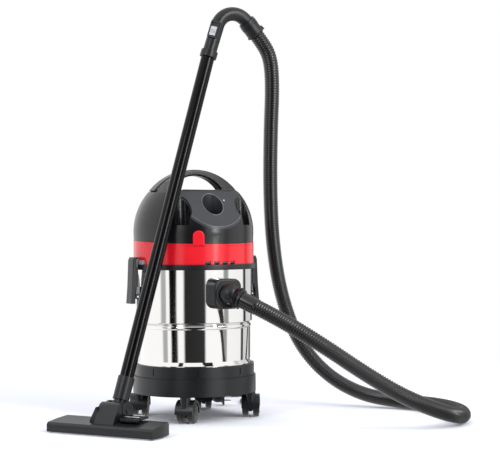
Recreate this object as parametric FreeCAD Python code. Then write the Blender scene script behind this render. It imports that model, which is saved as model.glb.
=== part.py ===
import FreeCAD, Part
import math
import os

from FreeCAD import Vector

# Wet and dry shop vacuum.  Millimetres.  +Z is up, the floor is z = 0, the drum's axis is the Z axis,
# and the machine's front, where the hose goes in, faces -Y.

# ---------------------------------------------------------------- driving dimensions

# drum: a bright steel bucket with one rolled bead
drum_r = 152.5
drum_lower_r = 144.8
drum_foot_r = 150.5
drum_wall = 1.2
drum_bottom_z = 130.0
drum_top_z = 392.0
bead_z = 242.0

# moulded base that the drum stands in
base_r = 161.0
base_upper_r = 156.5
base_bottom_z = 68.0
base_step_z = 112.0
base_top_z = 143.0
base_wall = 3.0

# rim that caps the drum, and the head that sits on it
rim_r = 162.0
rim_bottom_z = 388.5
rim_top_z = 402.0
rim_bore_r = 148.0
band_r = 157.5
head_wall = 3.0
seam_front_drop = 0.05      # the seam between band and dome rises this much per millimetre towards the back
seam_z = 462.0
seam_gap = 0.3
dome_r = 156.8
dome_spring_z = 471.0
dome_mid_r = 147.0
dome_mid_z = 542.0
dome_top_r = 118.0
dome_top_z = 592.0
vent_width = 14.4
vent_first = -12.3
vent_pitch = 8.5
seam_grooves = ((-39.3, -28.6), (-13.2, -5.0), (7.4, 41.0), (-78.0, -70.0), (95.0, 130.0), (150.0, 185.0))
locating_lip_depth = 6.0
lip_clearance = 4.5
gasket_r = 151.0
gasket_width = 5.0
gasket_depth = 1.7

# slanted front panel with the tool socket, and the two tool pockets beside it
panel_edge_y = -85.0
panel_slope = 52.8
panel_thickness = 3.0
socket_y = -113.0
socket_tilt = 20.0
socket_r = 28.0
socket_depth = 66.0
socket_wall = 2.5
pocket_r = 19.5
pocket_centre_r = 146.0
pocket_floor_z = 502.0
pocket_angle = 36.0

# carrying handle
handle_span = 119.0
handle_top_z = 648.0
handle_depth = 38.0
handle_gap_half = 77.0
handle_thickness = 16.0

# rounded square hose inlet on the front of the drum
inlet_z = 329.0
inlet_size = 76.0
inlet_corner_r = 20.0
inlet_face_y = -198.0
inlet_bore_r = 27.0
elbow_ball_r = 26.5
deflector_r = 28.0
deflector_wall = 3.0
deflector_y = -84.0
deflector_drop = 46.0
elbow_turn_direction = Vector(0.597, -0.692, -0.404)

# hose, and the mains lead
hose_d = 40.0
lead_d = 7.5

# wand: two tubes in line, from the floor nozzle up to the bent handle
wand_r = 17.5
wand_wall = 2.0
wand_foot = Vector(-260.0, -158.0, 132.0)
wand_head = Vector(8.0, -75.0, 934.0)
bend_r = 50.0
bend_centre_z = 1003.0
bend_end_angle = -48.0
slider_turn = 48.0             # the air slider's seat, turned about the handle towards the front
cuff_r = 22.5
cuff_length = 44.0

# floor nozzle
nozzle_length = 306.0
nozzle_depth = 85.0
nozzle_front_height = 26.0
nozzle_rear_height = 35.0
nozzle_wall = 2.5
nozzle_yaw = -57.25
neck_pivot_y = 84.0
neck_pivot_z = 55.0
neck_barrel_r = 18.0
neck_barrel_width = 42.0
neck_bore_r = 16.05
roller_r = 9.0

# casters: four twin-wheel casters, the ring of them turned a little from the inlet's line
caster_circle_r = 148.0
caster_turn = 10.0
caster_trail = 16.0
caster_wheel_r = 28.0
caster_wheel_width = 15.0
caster_width = 47.0
caster_stem_r = 4.0
axle_r = 3.0

# latches on the left and right of the drum
latch_pin_x = 166.0
latch_pin_z = 320.0
latch_pin_r = 2.5
latch_width = 34.0
latch_top_z = 421.0
latch_foot_z = 302.0
latch_ear_r = 7.0
catch_r = 163.0
catch_top_z = 413.0

# motor, standing on the plate that closes the head, and the float valve under it
motor_y = 14.0
motor_can_r = 50.0
motor_can_z = 442.0
motor_can_top_z = 548.0
fan_case_r = 66.0
fan_case_bottom_z = 404.5
shaft_r = 4.0
float_r = 24.0
cage_r = 34.0
filter_r = 66.0
filter_bottom_z = 300.0

# clearances
running = 0.05              # radial play of a pin in its hole


# ---------------------------------------------------------------- helpers

def cylinder(radius, low, high, x=0.0, y=0.0):
    """Upright cylinder between two heights."""
    return Part.makeCylinder(radius, high - low, Vector(x, y, low))


def ring(outer, inner, low, high, x=0.0, y=0.0):
    """Upright ring between two heights."""
    return cylinder(outer, low, high, x, y).cut(cylinder(inner, low - 1, high + 1, x, y))


def rod(start, end, radius):
    """Round bar from one point to another."""
    along = end.sub(start)
    return Part.makeCylinder(radius, along.Length, start, along)


def cone_rod(start, end, start_r, end_r):
    """Tapered bar from one point to another."""
    along = end.sub(start)
    return Part.makeCone(start_r, end_r, along.Length, start, along)


def block(low, high):
    """Box between two corners."""
    return Part.makeBox(high[0] - low[0], high[1] - low[1], high[2] - low[2], Vector(*low))


def turned(outline):
    """Solid turned about Z from (radius, height) points; a three-part entry is an arc's middle and end."""
    points = [Vector(r, 0, z) for r, z in [p[:2] for p in outline]]
    edges = []
    here = points[0]
    for entry, point in zip(outline[1:], points[1:]):
        if len(entry) == 4:
            end = Vector(entry[2], 0, entry[3])
            edges.append(Part.Arc(here, point, end).toShape())
            here = end
        else:
            edges.append(Part.LineSegment(here, point).toShape())
            here = point
    edges.append(Part.LineSegment(here, points[0]).toShape())
    face = Part.Face(Part.Wire(edges))
    return face.revolve(Vector(0, 0, 0), Vector(0, 0, 1), 360)


def extruded(points, direction):
    """Prism from a flat outline of points."""
    return Part.Face(Part.makePolygon(points + [points[0]])).extrude(direction)


def upright(edge):
    """True for a straight edge along Z."""
    if not isinstance(edge.Curve, (Part.Line, Part.LineSegment)):
        return False
    return abs(edge.tangentAt(edge.FirstParameter).z) > 0.999


def turned_about_z(shape, degrees):
    """Copy of a shape turned about the drum's axis."""
    copy = shape.copy()
    copy.rotate(Vector(0, 0, 0), Vector(0, 0, 1), degrees)
    return copy


def joined(shapes):
    """One fused solid."""
    whole = shapes[0]
    for shape in shapes[1:]:
        whole = whole.fuse(shape)
    return whole.removeSplitter()


def bent_tube(points, radius):
    """Round tube of straight runs joined by tangent arcs, each as large as its runs allow."""
    edges = []
    here = points[0]
    length = 0.0
    tightest = 1e9
    for before, corner, after in zip(points, points[1:], points[2:]):
        back = before.sub(corner)
        ahead = after.sub(corner)
        half = (math.pi - back.getAngle(ahead)) / 2
        shorter = min(back.Length, ahead.Length)
        bend = 0.45 * shorter / math.tan(half)
        tightest = min(tightest, bend)
        back.normalize()
        ahead.normalize()
        start = corner + back * (0.45 * shorter)
        end = corner + ahead * (0.45 * shorter)
        inward = (back + ahead).normalize()
        middle = corner + inward * (bend / math.cos(half) - bend)
        edges.append(Part.LineSegment(here, start).toShape())
        edges.append(Part.Arc(start, middle, end).toShape())
        length += start.sub(here).Length + 2 * half * bend
        here = end
    edges.append(Part.LineSegment(here, points[-1]).toShape())
    length += points[-1].sub(here).Length
    path = Part.Wire(edges)
    section = Part.Wire(Part.makeCircle(radius, points[0], points[1].sub(points[0])))
    tube = path.makePipeShell([section], True, False)
    expected = math.pi * radius ** 2 * length
    print("tube %.0f mm long, tightest bend %.0f mm, volume ratio %.4f"
          % (length, tightest, tube.Volume / expected))
    return tube


def save(name, shape):
    """Write one node."""
    for solid in shape.Solids:
        if not solid.isValid():
            print("NOT VALID", name)
    if not shape.Solids:
        print("NO SOLID", name)
    shape.exportStep("parts/" + name + ".step")


# ---------------------------------------------------------------- drum and base

def drum_outline(inset):
    """Half section of the drum, inset from its outside."""
    top = drum_top_z + (1 if inset else 0)
    return [
        (0, drum_bottom_z + inset),
        (drum_foot_r - 3 - inset, drum_bottom_z + inset),
        (drum_foot_r - inset, drum_bottom_z + 3 + inset),
        (drum_foot_r - inset, base_top_z + 2),
        (drum_lower_r - 1.5 - inset, base_top_z + 11),
        (drum_lower_r - inset, bead_z - 12),
        (drum_lower_r - inset, bead_z - 6),
        (drum_lower_r + 4.5 - inset, bead_z, drum_lower_r - inset + 1.0, bead_z + 6),
        (drum_r - inset, bead_z + 12),
        (drum_r - inset, top),
        (0, top),
    ]


def drum_shell():
    """Thin steel bucket, with the hole that the inlet goes through."""
    shell = turned(drum_outline(0)).cut(turned(drum_outline(drum_wall)))
    hole = Part.makeCylinder(inlet_bore_r + 3, 80, Vector(0, -110, inlet_z), Vector(0, -1, 0))
    return shell.cut(hole)


def drum_rim():
    """Moulded ring that grips the drum's top edge, with a seat for the head."""
    body = ring(rim_r, rim_bore_r, rim_bottom_z, rim_top_z)
    groove = ring(drum_r + 0.1, drum_r - drum_wall - 0.1, rim_bottom_z - 1, drum_top_z + 0.2)
    seat = ring(gasket_r + gasket_width + 0.4, gasket_r - 0.4, rim_top_z - gasket_depth, rim_top_z + 1)
    body = body.cut(groove).cut(seat)
    return body.makeFillet(2.0, [e for e in body.Edges if abs(e.BoundBox.XMax - rim_r) < 0.1])


def caster_spots():
    """Swivel axis of each caster, named, with the way its wheels trail."""
    spots = []
    for name, angle, heading in (("front_left", -135, 46), ("front_right", -45, 60),
                                 ("rear_right", 45, 66), ("rear_left", 135, 58)):
        a = math.radians(angle + caster_turn)
        spots.append((name, caster_circle_r * math.cos(a), caster_circle_r * math.sin(a), heading))
    return spots


def drum_base():
    """Two-step skirt with slots and caster bosses, and the plate inside it that the drum stands on."""
    outside = cylinder(base_upper_r, base_step_z - 5, base_top_z).fuse(
        cylinder(base_r, base_bottom_z, base_step_z))
    hollow = cylinder(base_r - base_wall, base_bottom_z - 1, base_step_z - base_wall)
    well = cylinder(drum_foot_r + 1.0, drum_bottom_z - 0.2, base_top_z + 1)
    lighten = cylinder(base_upper_r - base_wall, base_step_z - base_wall - 0.5, drum_bottom_z - 0.2 - base_wall)
    body = outside.cut(hollow).cut(well).cut(lighten)
    for name, x, y, heading in caster_spots():
        body = body.fuse(cylinder(12.0, base_bottom_z, drum_bottom_z - base_wall, x, y).common(outside))
    for name, x, y, heading in caster_spots():
        body = body.cut(cylinder(caster_stem_r, base_bottom_z - 1, base_bottom_z + 30, x, y))
    slot = block((base_upper_r - 1.5, -2.0, base_step_z + 8), (base_upper_r + 2, 2.0, base_top_z - 6))
    for step in range(8):
        body = body.cut(turned_about_z(slot, 22.5 + 45 * step))
    seat_r = drum_foot_r + 0.8
    skirt = body.cut(cylinder(seat_r, base_step_z - base_wall, drum_bottom_z + 1)).removeSplitter()
    seat = cylinder(seat_r, drum_bottom_z - 0.2 - base_wall, drum_bottom_z - 0.2)
    for name, x, y, heading in caster_spots():
        post = cylinder(12.0, base_step_z - base_wall, drum_bottom_z - base_wall, x, y)
        seat = seat.fuse(post.common(cylinder(seat_r, base_bottom_z, drum_bottom_z)))
    return Part.makeCompound([skirt, seat.removeSplitter()])


def caster_stems():
    """Steel stems pressed into the base, one for each caster."""
    stems = [cylinder(caster_stem_r, base_bottom_z - 17, base_bottom_z + 29, x, y)
             for name, x, y, heading in caster_spots()]
    return Part.makeCompound(stems)


# ---------------------------------------------------------------- casters

def wheel_axis_rod(radius, half, x=0.0, z=0.0):
    """Bar along local Y, centred."""
    return Part.makeCylinder(radius, 2 * half, Vector(x, -half, z), Vector(0, 1, 0))


def placed_caster(shape, x, y, heading):
    """Local caster shape, stem at the origin and wheels trailing along +X, moved to its place."""
    shape = shape.copy()
    shape.rotate(Vector(0, 0, 0), Vector(0, 0, 1), heading)
    shape.translate(Vector(x, y, 0))
    return shape


def caster_fork():
    """Hood, centre web and neck of a twin-wheel caster."""
    centre_z = caster_wheel_r
    hood_r = caster_wheel_r + 3.2
    half = caster_width / 2
    hood = wheel_axis_rod(hood_r, half, caster_trail, centre_z)
    hood = hood.cut(wheel_axis_rod(caster_wheel_r + 1.2, half - 2.2, caster_trail, centre_z))
    hood = hood.cut(wheel_axis_rod(caster_wheel_r - 3, half + 1, caster_trail, centre_z))
    under = block((caster_trail - 40, -30, -5), (caster_trail + 40, 30, centre_z - 4))
    hood = hood.cut(under)
    web = wheel_axis_rod(caster_wheel_r + 1.5, 5.0, caster_trail, centre_z)
    web = web.cut(block((caster_trail - 40, -30, -5), (caster_trail + 40, 30, centre_z - 12)))
    neck = cylinder(13.0, centre_z + 10, base_bottom_z - 0.6)
    neck = neck.cut(wheel_axis_rod(caster_wheel_r + 1.2, half + 5, caster_trail, centre_z))
    fork = joined([hood, web, neck])
    fork = fork.cut(cylinder(caster_stem_r + running, base_bottom_z - 17.4, base_bottom_z + 1))
    return fork.cut(wheel_axis_rod(axle_r + running, 8, caster_trail, centre_z))


def caster_wheels():
    """Two solid wheels, with the axle between them."""
    centre_z = caster_wheel_r
    inner = 6.2
    solids = [wheel_axis_rod(axle_r, inner, caster_trail, centre_z)]
    for side in (-1, 1):
        wheel = Part.makeCylinder(caster_wheel_r, caster_wheel_width,
                                  Vector(caster_trail, side * inner, centre_z), Vector(0, side, 0))
        solids.append(wheel.makeFillet(2.5, [e for e in wheel.Edges
                                             if e.BoundBox.ZLength > 2 * caster_wheel_r - 0.5]))
    return Part.makeCompound(solids)


# ---------------------------------------------------------------- inlet, elbow

def rounded_square(size, corner, y_near, y_far, z):
    """Rounded square prism along Y."""
    half = size / 2
    body = block((-half, min(y_near, y_far), z - half), (half, max(y_near, y_far), z + half))
    return body.makeFillet(corner, [e for e in body.Edges if e.BoundBox.YLength > 1
                                    and e.BoundBox.XLength < 0.1 and e.BoundBox.ZLength < 0.1])


def inlet_housing():
    """Rounded square block bolted over the hole in the drum."""
    body = rounded_square(inlet_size, inlet_corner_r, -130, inlet_face_y, inlet_z)
    body = body.makeFillet(4.5, [e for e in body.Edges if e.BoundBox.YMax < inlet_face_y + 0.1])
    body = body.cut(cylinder(drum_r + 0.05, bead_z, drum_top_z))
    bore = Part.makeCylinder(inlet_bore_r + 3.2, 120, Vector(0, -110, inlet_z), Vector(0, -1, 0))
    return body.cut(bore)


def inlet_sleeve():
    """Flanged sleeve through the drum wall, which the elbow turns in."""
    axis = Vector(0, -1, 0)
    tube = Part.makeCylinder(inlet_bore_r + 2.8, 84, Vector(0, -118, inlet_z), axis)
    lip = Part.makeCylinder(inlet_bore_r + 6.5, 3, Vector(0, inlet_face_y - 0.2, inlet_z), axis)
    bore = Part.makeCylinder(inlet_bore_r, 100, Vector(0, -112, inlet_z), axis)
    return tube.fuse(lip).cut(bore).removeSplitter()


def inlet_deflector():
    """Elbow inside the drum that turns the incoming air down."""
    reach = 117.8 + deflector_y
    corner = Vector(0, deflector_y, inlet_z)
    outward = Vector(0, -1, 0)
    shell = [Part.makeCylinder(deflector_r, reach, corner, outward),
             cylinder(deflector_r, inlet_z - deflector_drop, inlet_z, 0, deflector_y),
             Part.makeSphere(deflector_r, corner)]
    inner_r = deflector_r - deflector_wall
    inner = Part.makeSphere(inner_r, corner).fuse(Part.makeCylinder(inner_r, reach + 1, corner, outward))
    inner = inner.fuse(cylinder(inner_r, inlet_z - deflector_drop - 1, inlet_z, 0, deflector_y))
    return joined(shell).cut(inner)


def elbow_centre():
    """Middle of the elbow's ball."""
    return Vector(0, inlet_face_y - 10.5, inlet_z)


def hose_elbow():
    """Ball elbow that turns in the sleeve, with the collar that holds the hose."""
    centre = elbow_centre()
    turn = Vector(elbow_turn_direction).normalize()
    spigot = Part.makeCylinder(inlet_bore_r - running, 54, centre, Vector(0, 1, 0))
    ball = Part.makeSphere(elbow_ball_r, centre)
    outlet = Part.makeCylinder(23.0, 34, centre, turn)
    collar = Part.makeCylinder(25.5, 9, centre + turn * 25, turn)
    inner = Part.makeSphere(19.0, centre)
    inner = inner.fuse(Part.makeCylinder(19.0, 56, centre, Vector(0, 1, 0)))
    inner = inner.fuse(Part.makeCylinder(16.0, 30, centre, turn))
    mouth = Part.makeCylinder(hose_d / 2 + 0.3, 6.2, centre + turn * 28, turn)
    return joined([spigot, ball, outlet, collar]).cut(inner).cut(mouth)


# ---------------------------------------------------------------- latches

def latch_place(shape, side):
    """Right-hand latch shape, or the same turned to the left side."""
    return shape if side == "right" else turned_about_z(shape, 180)


def latch_bracket():
    """Plate riveted to the drum, with two ears for the latch pin."""
    plate = block((drum_r - 4, -15, 262), (drum_r + 4, 15, 345)).cut(
        cylinder(drum_r + 0.1, bead_z, drum_top_z)).cut(cylinder(drum_lower_r + 0.3, 200, 300))
    ears = []
    for y in (-14.5, 11.5):
        ear = block((drum_r + 1, y, latch_pin_z - latch_ear_r), (latch_pin_x, y + 3, latch_pin_z + latch_ear_r))
        knuckle = Part.makeCylinder(latch_ear_r, 3, Vector(latch_pin_x, y, latch_pin_z), Vector(0, 1, 0))
        ears.append(ear.fuse(knuckle))
    bracket = joined([plate] + ears)
    bracket = bracket.cut(cylinder(drum_r + 0.1, bead_z, drum_top_z))
    pin_hole = Part.makeCylinder(latch_pin_r, 40, Vector(latch_pin_x, -20, latch_pin_z), Vector(0, 1, 0))
    return bracket.cut(pin_hole)


def latch_pin():
    """Pin held in the bracket's ears."""
    return Part.makeCylinder(latch_pin_r, 30, Vector(latch_pin_x, -15, latch_pin_z), Vector(0, 1, 0))


def latch_rivets():
    """Dome-headed rivets through the bracket's foot."""
    rivets = []
    for y in (-8, 8):
        head = Part.makeSphere(3.6, Vector(drum_r + 2.4, y, 276))
        head = head.common(block((drum_r + 4.05, y - 6, 268), (drum_r + 10, y + 6, 284)))
        rivets.append(head)
    return rivets


def latch_fasteners():
    """Both latch pins and all four rivets."""
    solids = []
    for side in ("left", "right"):
        solids.append(latch_place(latch_pin(), side))
        solids += [latch_place(rivet, side) for rivet in latch_rivets()]
    return Part.makeCompound(solids)


def latch_hook():
    """Grey hook plate between the ears, whose nose stands beside the catch."""
    nose_x = catch_r + 0.6
    outline = [Vector(160.5, 0, 314), Vector(170.2, 0, 314), Vector(170.2, 0, catch_top_z + 3.5),
               Vector(nose_x, 0, catch_top_z + 3.5), Vector(nose_x, 0, rim_bottom_z - 6),
               Vector(160.0, 0, 365), Vector(158.5, 0, 350)]
    plate = extruded([p + Vector(0, -11, 0) for p in outline], Vector(0, 22, 0))
    hole = Part.makeCylinder(latch_pin_r + running, 40, Vector(latch_pin_x, -20, latch_pin_z), Vector(0, 1, 0))
    return plate.cut(hole)


def latch_lever():
    """Black lever over the hook, flared at its foot for the fingers."""
    outline = [Vector(170.5, 0, latch_top_z - 22), Vector(170.5, 0, 335), Vector(174.0, 0, 335),
               Vector(174.0, 0, latch_foot_z), Vector(186.0, 0, latch_foot_z), Vector(183.0, 0, 340),
               Vector(180.0, 0, latch_top_z - 8), Vector(176.0, 0, latch_top_z),
               Vector(164.2, 0, latch_top_z), Vector(164.2, 0, catch_top_z + 3.8),
               Vector(170.5, 0, catch_top_z + 3.8)]
    half = latch_width / 2
    body = extruded([p + Vector(0, -half, 0) for p in outline], Vector(0, latch_width, 0))
    cheeks = []
    for side in (-1, 1):
        y = side * (half - 1.25)
        cheek = block((166.5, y - 1.25, 345), (171.0, y + 1.25, latch_top_z - 26))
        cheeks.append(cheek)
    return joined([body] + cheeks)


def latch_catches():
    """Grey catch plates on both sides of the head."""
    plates = []
    for side in (0, 180):
        plate = ring(catch_r, band_r + 0.1, rim_top_z + 0.5, catch_top_z)
        wedge = extruded([Vector(0, 0, 400), Vector(200, -44, 400), Vector(200, 44, 400)], Vector(0, 0, 20))
        plates.append(turned_about_z(plate.common(wedge), side))
    return Part.makeCompound(plates)


# ---------------------------------------------------------------- head

def above_seam(gap):
    """Everything above the sloping seam."""
    tilt = seam_front_drop
    far = 250
    outline = [Vector(-far, -far, seam_z + gap - tilt * far), Vector(-far, far, seam_z + gap + tilt * far),
               Vector(-far, far, 800), Vector(-far, -far, 800)]
    return extruded(outline, Vector(2 * far, 0, 0))


def seam_groove(start, end):
    """Shallow groove just under the seam, between two angles from the front."""
    strip = ring(band_r + 1, band_r - 1.3, 400, 500).common(above_seam(-5.4)).cut(above_seam(-3.8))
    far = 400
    corners = [Vector(0, 0, 400)]
    for angle in (start, end):
        a = math.radians(angle - 90)
        corners.append(Vector(far * math.cos(a), far * math.sin(a), 400))
    return strip.common(extruded(corners, Vector(0, 0, 100)))


def head_band():
    """Red lower shell of the head, with cooling slots at the front and a recess for the switch."""
    body = ring(band_r, band_r - head_wall, rim_top_z + 0.3, 500).cut(above_seam(0))
    body = body.fuse(ring(band_r - 1, band_r - 10, rim_top_z + 0.3, rim_top_z + 3.3))
    vent = block((-vent_width / 2, -band_r - 2, rim_top_z - 1), (vent_width / 2, -band_r + 12, rim_top_z + 8.6))
    for step in range(4):
        body = body.cut(turned_about_z(vent, vent_first + vent_pitch * step))
    for start, end in seam_grooves:
        body = body.cut(seam_groove(start, end))
    body = body.cut(turned_about_z(switch_recess(), switch_angle()))
    gland = rod(Vector(band_r - 12, 0, gland_z()), Vector(band_r + 5, 0, gland_z()), 9.0)
    body = body.cut(turned_about_z(gland, gland_angle()))
    return body.removeSplitter()


def dome_outline(inset):
    """Half section of the dome, inset from its outside."""
    return [
        (0, 430), (dome_r - inset, 430), (dome_r - inset, dome_spring_z),
        (dome_mid_r - inset * 1.05, dome_mid_z, dome_top_r + 2 - inset * 1.25, dome_top_z - 4 - inset * 0.6),
        (dome_top_r - 3 - inset, dome_top_z - inset),
        (0, dome_top_z - inset),
    ]


def panel_frame(shape):
    """Shape made on the XY plane, moved onto the slanted panel: local +Z is the panel's normal."""
    shape = shape.copy()
    shape.rotate(Vector(0, 0, 0), Vector(1, 0, 0), panel_slope)
    shape.translate(Vector(0, panel_edge_y, dome_top_z))
    return shape


def beyond_panel(depth):
    """Everything in front of the panel's plane, sunk by a depth."""
    return panel_frame(block((-250, -400, -depth), (250, 60, 300)))


def pocket_positions():
    """Centres of the two tool pockets."""
    spots = []
    for side in (-1, 1):
        a = math.radians(-90 + side * pocket_angle)
        spots.append((pocket_centre_r * math.cos(a), pocket_centre_r * math.sin(a)))
    return spots


def socket_axis():
    """Mouth and inward direction of the round tool socket."""
    lean = math.radians(socket_tilt)
    mouth_z = dome_top_z + (socket_y - panel_edge_y) * math.tan(math.radians(panel_slope))
    return Vector(0, socket_y, mouth_z), Vector(0, math.sin(lean), -math.cos(lean))


def head_dome():
    """Black upper shell with the pockets moulded in and the slanted front left open."""
    outside = turned(dome_outline(0)).common(above_seam(seam_gap))
    shell = outside.cut(turned(dome_outline(head_wall)))
    shell = shell.cut(beyond_panel(panel_thickness + 0.2))
    room = outside.cut(beyond_panel(panel_thickness + 0.2))
    for x, y in pocket_positions():
        cup = cylinder(pocket_r + 2.5, pocket_floor_z - 2.5, dome_top_z + 20, x, y).common(room)
        shell = shell.fuse(cup)
    for x, y in pocket_positions():
        shell = shell.cut(cylinder(pocket_r, pocket_floor_z, dome_top_z + 40, x, y))
    shell = shell.cut(turned_about_z(switch_recess(), switch_angle()))
    return shell.removeSplitter()


def front_panel():
    """Slanted grey plate that closes the dome's front, with the tool socket as a blind tube."""
    outside = turned(dome_outline(-0.6)).common(beyond_panel(panel_thickness))
    plate = outside.cut(beyond_panel(0)).common(block((-250, -250, 440), (250, panel_edge_y + 6, 700)))
    mouth, inward = socket_axis()
    start = mouth - inward * 40
    tube = Part.makeCylinder(socket_r + socket_wall, 40 + socket_depth, start, inward)
    tube = tube.cut(beyond_panel(0))
    bore = Part.makeCylinder(socket_r, 40 + socket_depth - socket_wall, start, inward)
    plate = plate.fuse(tube)
    plate = plate.cut(bore)
    for x, y in pocket_positions():
        plate = plate.cut(cylinder(pocket_r + 2.9, 470, dome_top_z + 40, x, y))
    return plate.removeSplitter()


def carry_handle():
    """Arched handle across the top of the dome."""
    rise = handle_top_z - (dome_top_z + 2)
    outer_r = (handle_span ** 2 + rise ** 2) / (2 * rise)
    gap_top = handle_top_z - handle_thickness
    gap_rise = gap_top - (dome_top_z - 2)
    inner_r = (handle_gap_half ** 2 + gap_rise ** 2) / (2 * gap_rise)
    half = handle_depth / 2
    along = Vector(0, 1, 0)
    arch = Part.makeCylinder(outer_r, handle_depth, Vector(0, -half, handle_top_z - outer_r), along)
    gap = Part.makeCylinder(inner_r, handle_depth + 4, Vector(0, -half - 2, gap_top - inner_r), along)
    arch = arch.common(block((-handle_span, -half, dome_top_z + 0.2), (handle_span, half, 700)))
    arch = arch.cut(gap)
    long_edges = [e for e in arch.Edges if e.BoundBox.XLength > 60 and e.BoundBox.YLength < 0.5
                  and e.BoundBox.ZMax > dome_top_z + 8]
    return arch.makeFillet(5.0, long_edges)


def motor_plate():
    """Plate that closes the head underneath, with the lip that finds the drum's rim."""
    plate = cylinder(band_r - 10.3, rim_top_z + 0.4, rim_top_z + 2.2)
    lip = ring(rim_bore_r - lip_clearance, rim_bore_r - lip_clearance - 3,
               rim_top_z - locating_lip_depth, rim_top_z + 1)
    eye = cylinder(22.0, rim_top_z - 20, rim_top_z + 20, 0, motor_y)
    return joined([plate, lip]).cut(eye)


def head_gasket():
    """Soft ring in the rim's groove, which the head rests on."""
    return ring(gasket_r + gasket_width, gasket_r, rim_top_z - gasket_depth, rim_top_z + 0.2)


def head_screws():
    """Four screws that hold the plate to the band, heads down, and the one in the panel."""
    screws = []
    for step in range(4):
        a = math.radians(45 + 90 * step)
        x, y = 138.0 * math.cos(a), 138.0 * math.sin(a)
        screws.append(cylinder(4.0, rim_top_z + 2.25, rim_top_z + 4.6, x, y))
    screws.append(panel_frame(cylinder(2.6, 0.02, 1.4, 36.0, -34.0)))
    return Part.makeCompound(screws)


def motor_can():
    """Motor casing on top of the fan case, open in the middle for the rotor."""
    fan_case = cylinder(fan_case_r, fan_case_bottom_z, motor_can_z, 0, motor_y)
    can = cylinder(motor_can_r, motor_can_z - 1, motor_can_top_z, 0, motor_y)
    body = fan_case.fuse(can)
    body = body.cut(cylinder(fan_case_r - 3, fan_case_bottom_z + 3, motor_can_z - 3, 0, motor_y))
    body = body.cut(cylinder(20.0, fan_case_bottom_z - 1, fan_case_bottom_z + 4, 0, motor_y))
    body = body.cut(cylinder(motor_can_r - 4, motor_can_z + 3, motor_can_top_z - 4, 0, motor_y))
    body = body.cut(cylinder(11.0, motor_can_z - 5, motor_can_top_z + 1, 0, motor_y))
    return body.removeSplitter()


def motor_bearings():
    """Two bearings that carry the shaft."""
    low = ring(10.98, shaft_r + running, motor_can_z - 2.8, motor_can_z + 4.8, 0, motor_y)
    high = ring(10.98, shaft_r + running, motor_can_top_z - 4.8, motor_can_top_z + 1.5, 0, motor_y)
    return Part.makeCompound([low, high])


def motor_rotor():
    """Shaft with the armature and commutator."""
    shaft = cylinder(shaft_r, fan_case_bottom_z + 6, motor_can_top_z + 6, 0, motor_y)
    armature = cylinder(30.0, motor_can_z + 14, motor_can_z + 66, 0, motor_y)
    commutator = cylinder(13.0, motor_can_z + 74, motor_can_z + 90, 0, motor_y)
    return joined([shaft, armature, commutator])


def suction_fan():
    """Fan with curved vanes between two discs."""
    low = ring(57.0, 18.0, fan_case_bottom_z + 8, fan_case_bottom_z + 9.5, 0, motor_y)
    high = ring(57.0, shaft_r + 0.02, fan_case_bottom_z + 27, fan_case_bottom_z + 28.5, 0, motor_y)
    hub = ring(9.0, shaft_r + 0.02, fan_case_bottom_z + 16, fan_case_bottom_z + 27.5, 0, motor_y)
    vanes = []
    for step in range(7):
        vane = ring(40.0, 38.6, fan_case_bottom_z + 9, fan_case_bottom_z + 27.4, 26.0, 14.0)
        vane = vane.common(ring(56.5, 19.0, fan_case_bottom_z, fan_case_bottom_z + 40))
        vane = vane.common(block((0, 0, fan_case_bottom_z), (70, 70, fan_case_bottom_z + 40)))
        vane = turned_about_z(vane, 360 / 7 * step)
        vane.translate(Vector(0, motor_y, 0))
        vanes.append(vane)
    return joined([low, high, hub] + vanes)


def exhaust_foam():
    """Foam block behind the front cooling slots."""
    foam = ring(band_r - head_wall - 0.4, band_r - head_wall - 14, rim_top_z + 3.8, rim_top_z + 20)
    wedge = extruded([Vector(0, 0, 400), Vector(-110, -200, 400), Vector(70, -200, 400)], Vector(0, 0, 40))
    return foam.common(wedge)


def float_cage():
    """Slotted cage under the motor plate that guides the float."""
    bottom = rim_top_z - 78
    body = cylinder(cage_r, bottom, rim_top_z - 7.5, 0, motor_y)
    body = body.cut(cylinder(cage_r - 3, bottom + 3, rim_top_z - 7, 0, motor_y))
    for step in range(3):
        slot = block((-9, -cage_r - 4, bottom + 10), (9, cage_r + 4, rim_top_z - 18))
        slot.rotate(Vector(0, 0, 0), Vector(0, 0, 1), 60 * step)
        slot.translate(Vector(0, motor_y, 0))
        body = body.cut(slot)
    flange = ring(cage_r + 14, cage_r - 12, rim_top_z - 8, rim_top_z + 0.2, 0, motor_y)
    return body.fuse(flange).removeSplitter()


def valve_float():
    """Hollow cup that rises with the water and shuts the air path."""
    bottom = rim_top_z - 78 + 3.3
    body = cylinder(float_r, bottom, bottom + 40, 0, motor_y)
    hollow = cylinder(float_r - 2, bottom + 2, bottom + 38, 0, motor_y)
    return body.cut(hollow)


def filter_sleeve():
    """Foam sleeve filter over the float cage."""
    body = cylinder(filter_r, filter_bottom_z, rim_top_z - 8.5, 0, motor_y)
    hollow = cylinder(filter_r - 8, filter_bottom_z + 6, rim_top_z - 8, 0, motor_y)
    body = body.cut(hollow)
    collar = ring(filter_r - 7, cage_r + 14.3, rim_top_z - 14, rim_top_z - 8.5, 0, motor_y)
    return body.fuse(collar).removeSplitter()


# ---------------------------------------------------------------- switch and lead gland

def switch_angle():
    """Where the switch sits, from the front, about the drum's axis."""
    return -21.0


def switch_recess():
    """Round-topped recess through the seam at the front, for the rocker."""
    low, high, half = 449.0, 474.0, 15.5
    cut = block((-half, -175, low), (half, -150.2, high))
    top = Part.makeCylinder(half, 24.8, Vector(0, -175, high), Vector(0, 1, 0))
    return cut.fuse(top)


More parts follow.
